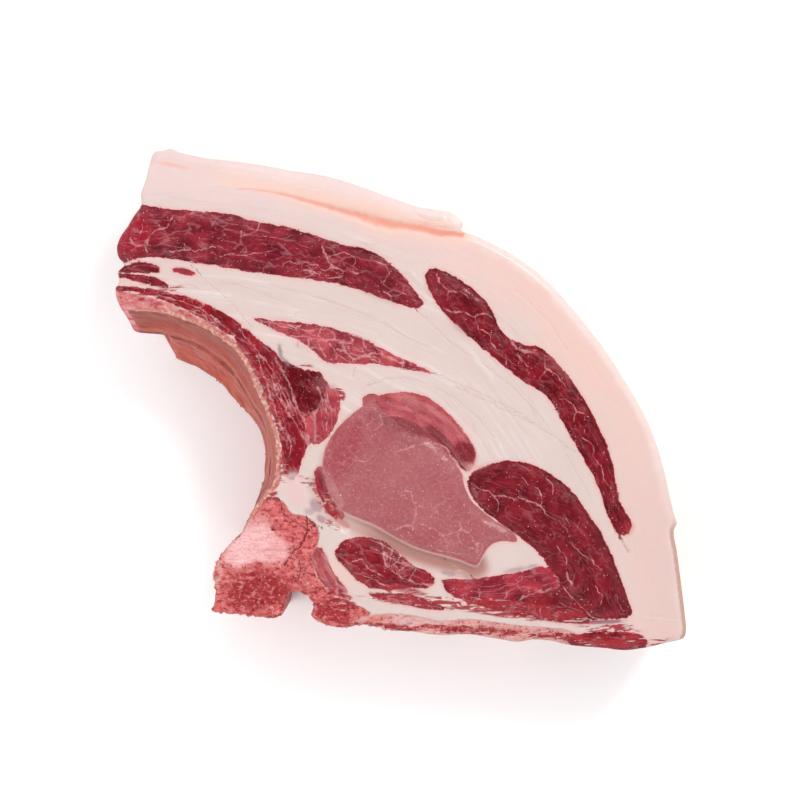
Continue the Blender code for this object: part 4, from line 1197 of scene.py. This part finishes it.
    # the shade under the loin's edge, and its pale rim
    under = shade * s.most(is_dark, is_loin).rise(0.5, 0)
    under *= x.rise(-24, -4, 0.55, 1)
    s.lay(under * 0.85, s.mix(under, seen(0.68, 0.39, 0.32), seen(0.48, 0.2, 0.165)))
    rim = loin.rise(0.9, 0.1) * is_loin * (x + y * 0.6).rise(2, -22)
    rim *= y.rise(-18, -34, 0.15, 1) * s.noise(place, 5, 3).rise(0.38, 0.6, 0.2, 1)
    s.lay(rim * 0.6, (0.84, 0.4, 0.36))

    # cuts and cracks: painted shade in their grooves, darkest beside the meat; in the skin flap they
    # show coral raw meat
    way = s.attribute("creases")
    crease = (s.length(way) + fray * 0.8).rise(1.5, 0.7)
    crease *= s.split(way)[2].rise(0.75, 1.05, 1, 0)
    crease *= s.noise(place, 1.6, 2).rise(0.36, 0.52, 0.3, 1)
    near_lean = s.most(lean_a, lean_b, lean_c, loin, bone).rise(-2.2, -1.2)
    in_fat = s.mix(y.rise(60, 64), seen(0.7, 0.45, 0.4), seen(0.94, 0.5, 0.4))
    cut = s.mix(near_lean, in_fat, seen(0.21, 0.018, 0.024))
    s.lay(crease * (0.6 + near_lean * 0.3), cut)

    # the fine relief
    wet = s.noise(place, 0.8, 2, 0.6)
    meat_share = s.most(is_dark, is_loin)
    relief = (fibres * 0.45 + wet * 0.55) * meat_share
    relief += (sponge + grit) * is_bone * 2.6
    relief += streaks * (1 - meat_share) * 1.5
    relief += strips * shreds * 1.2
    relief += vein * 0.25
    return s.finish(0.46 - meat_share * 0.18 + is_bone * 0.1, s.bump(relief, 0.22))


def skin_material():
    """The skin: pores, wrinkles and patches, and a paler fresh edge by the cut face."""
    s = Shader("skin")
    place = s.place()
    around, depth, _ = s.split(s.attribute("side"))
    wrap = s.join(around, depth, 0)
    tone = s.noise(place, 12, 4)
    s.colour = s.mix(tone, seen(0.74, 0.47, 0.38), seen(0.93, 0.7, 0.61))
    patches = s.noise(s.bent(wrap, 8, 4), 16, 4, 0.6).rise(0.5, 0.66)
    s.lay(patches * 0.5, (0.64, 0.36, 0.28))
    pores = s.cells(wrap, 2.2, "F1")
    wrinkles = s.noise(s.bent(wrap, 6, 2), 2.4, 4, 0.65)
    s.lay(wrinkles.rise(0.48, 0.36, 0, 0.5), (0.52, 0.27, 0.21))
    s.lay(pores.rise(0.22, 0.1, 0, 0.35), (0.5, 0.25, 0.19))
    fresh = (depth + s.noise(wrap, 6, 3) * 3).rise(3.4, 1.8)
    s.lay(fresh * 0.85, (0.95, 0.74, 0.66))
    return s.finish(0.5, s.bump(wrinkles + pores.rise(0, 0.25) * 0.5, 0.5), 0.1)


def chest_material():
    """The chest wall: bands and ripples of muscle, the step between the ribs with a painted shadow
    under its ledge and a painted lit band above it, painted shade near the cut face, and a torn
    membrane.
    """
    s = Shader("chest_wall")
    place = s.place()
    around, depth, _ = s.split(s.attribute("side"))
    wrap = s.join(around * 0.14, depth, 0)
    bands = s.noise(s.bent(wrap, 5, 2), 3.4, 3)
    slanted = s.join((around + depth * 0.7) * 0.5, depth * 0.8, 0)
    ripples = s.noise(s.bent(slanted, 5, 2.4), 3.6, 3)
    deep = (depth + s.noise(place, 14, 2) * 10).rise(8, 44)
    s.colour = s.mix(deep, seen(0.4, 0.068, 0.047), seen(0.58, 0.096, 0.062))
    lower = depth.rise(19, 25, 0.35, 1)
    s.lay(bands.rise(0.5, 0.7, 0, 0.5) * lower, (0.46, 0.14, 0.105))
    s.lay(bands.rise(0.46, 0.32, 0, 0.5) * lower, (0.31, 0.036, 0.026))
    s.lay(ripples.rise(0.53, 0.64, 0, 0.65) * lower, (0.34, 0.032, 0.024))
    s.lay(ripples.rise(0.48, 0.36, 0, 0.6) * lower, (0.64, 0.19, 0.135))
    bend = s.noise(s.join(around, 0, 0), 9, 2) * 5.0
    ledge = abs(depth + bend - 26.2)
    # painted shadow under the ledge between the ribs; the lit band below is painted light
    shadow_under_ledge = ledge.rise(2.7, 0.6) * s.noise(s.join(around, 3, 0), 5, 2).rise(0.34, 0.6, 0.35, 1)
    s.lay(shadow_under_ledge * 0.9, (0.25, 0.016, 0.015))
    lit = abs(depth + bend - 22.6).rise(2.4, 0.4)
    s.lay(lit * 0.45, (0.66, 0.2, 0.14))
    membrane = (depth + s.noise(s.join(around, 0, 0), 2, 3) * 3.6).rise(3.6, 1.8)
    torn = s.noise(s.join(around, depth, 0), 1.6, 3).rise(0.4, 0.6, 0.35, 0.9)
    s.lay(membrane * torn, (0.93, 0.6, 0.49))
    shaded = depth.rise(1.5, 4) * depth.rise(16, 7)
    s.lay(shaded * 0.5, (0.31, 0.062, 0.044))
    return s.finish(0.42, s.bump(bands - ripples * 1.2 + lit * 0.6 - shadow_under_ledge * 0.6, 0.9))


def floor_material():
    s = Shader("floor")
    place = s.place()
    colour = s.mix(s.noise(place, 40, 3), (0.93, 0.93, 0.93), (0.95, 0.95, 0.95))
    s.set(s.surface.inputs["Base Color"], colour)
    s.surface.inputs["Roughness"].default_value = 0.9
    return s.material


def build_floor():
    mesh = bpy.data.meshes.new("floor")
    corners = [(x * FLOOR_REACH, y * FLOOR_REACH, 0) for x, y in ((-1, -1), (1, -1), (1, 1), (-1, 1))]
    mesh.from_pydata(corners, [], [(0, 1, 2, 3)])
    mesh.materials.append(floor_material())
    floor = bpy.data.objects.new("floor", mesh)
    floor.location.z = -FLOOR_GAP
    bpy.context.scene.collection.objects.link(floor)


def add_light(name, place, size, power):
    data = bpy.data.lights.new(name, "AREA")
    data.size, data.energy = size, power
    light = bpy.data.objects.new(name, data)
    light.location = place
    light.rotation_euler = (-Vector(place)).to_track_quat("-Z", "Y").to_euler()
    bpy.context.scene.collection.objects.link(light)


def build_studio():
    """The world, the lights and the camera, straight above the cut face."""
    scene = bpy.context.scene
    scene.view_settings.view_transform = "Standard"
    world = bpy.data.worlds.new("studio")
    world.use_nodes = True
    nodes, links = world.node_tree.nodes, world.node_tree.links
    background = nodes["Background"]
    background.inputs["Color"].default_value = (1, 1, 1, 1)
    # a bright tent with a dim opening right overhead
    direction = nodes.new("ShaderNodeTexCoord")
    parts = nodes.new("ShaderNodeSeparateXYZ")
    opening = nodes.new("ShaderNodeMapRange")
    for socket, value in zip(opening.inputs[1:5], TENT, strict=True):
        socket.default_value = value
    links.new(direction.outputs["Generated"], parts.inputs[0])
    links.new(parts.outputs[2], opening.inputs[0])
    links.new(opening.outputs[0], background.inputs["Strength"])
    scene.world = world
    for light in LIGHTS:
        add_light(*light)
    data = bpy.data.cameras.new("camera")
    data.sensor_width = SENSOR
    data.lens = SENSOR * CAMERA_DISTANCE / PICTURE_WIDTH
    camera = bpy.data.objects.new("camera", data)
    camera.location = (*TO_MODEL / 1000, THICKNESS / 1000 + CAMERA_DISTANCE)
    scene.collection.objects.link(camera)
    scene.camera = camera


steak = build_mesh()
for material in (cut_face_material(), skin_material(), chest_material()):
    steak.data.materials.append(material)
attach(steak, "root")
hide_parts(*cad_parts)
build_floor()
build_studio()
print("triangles", len(steak.data.polygons))
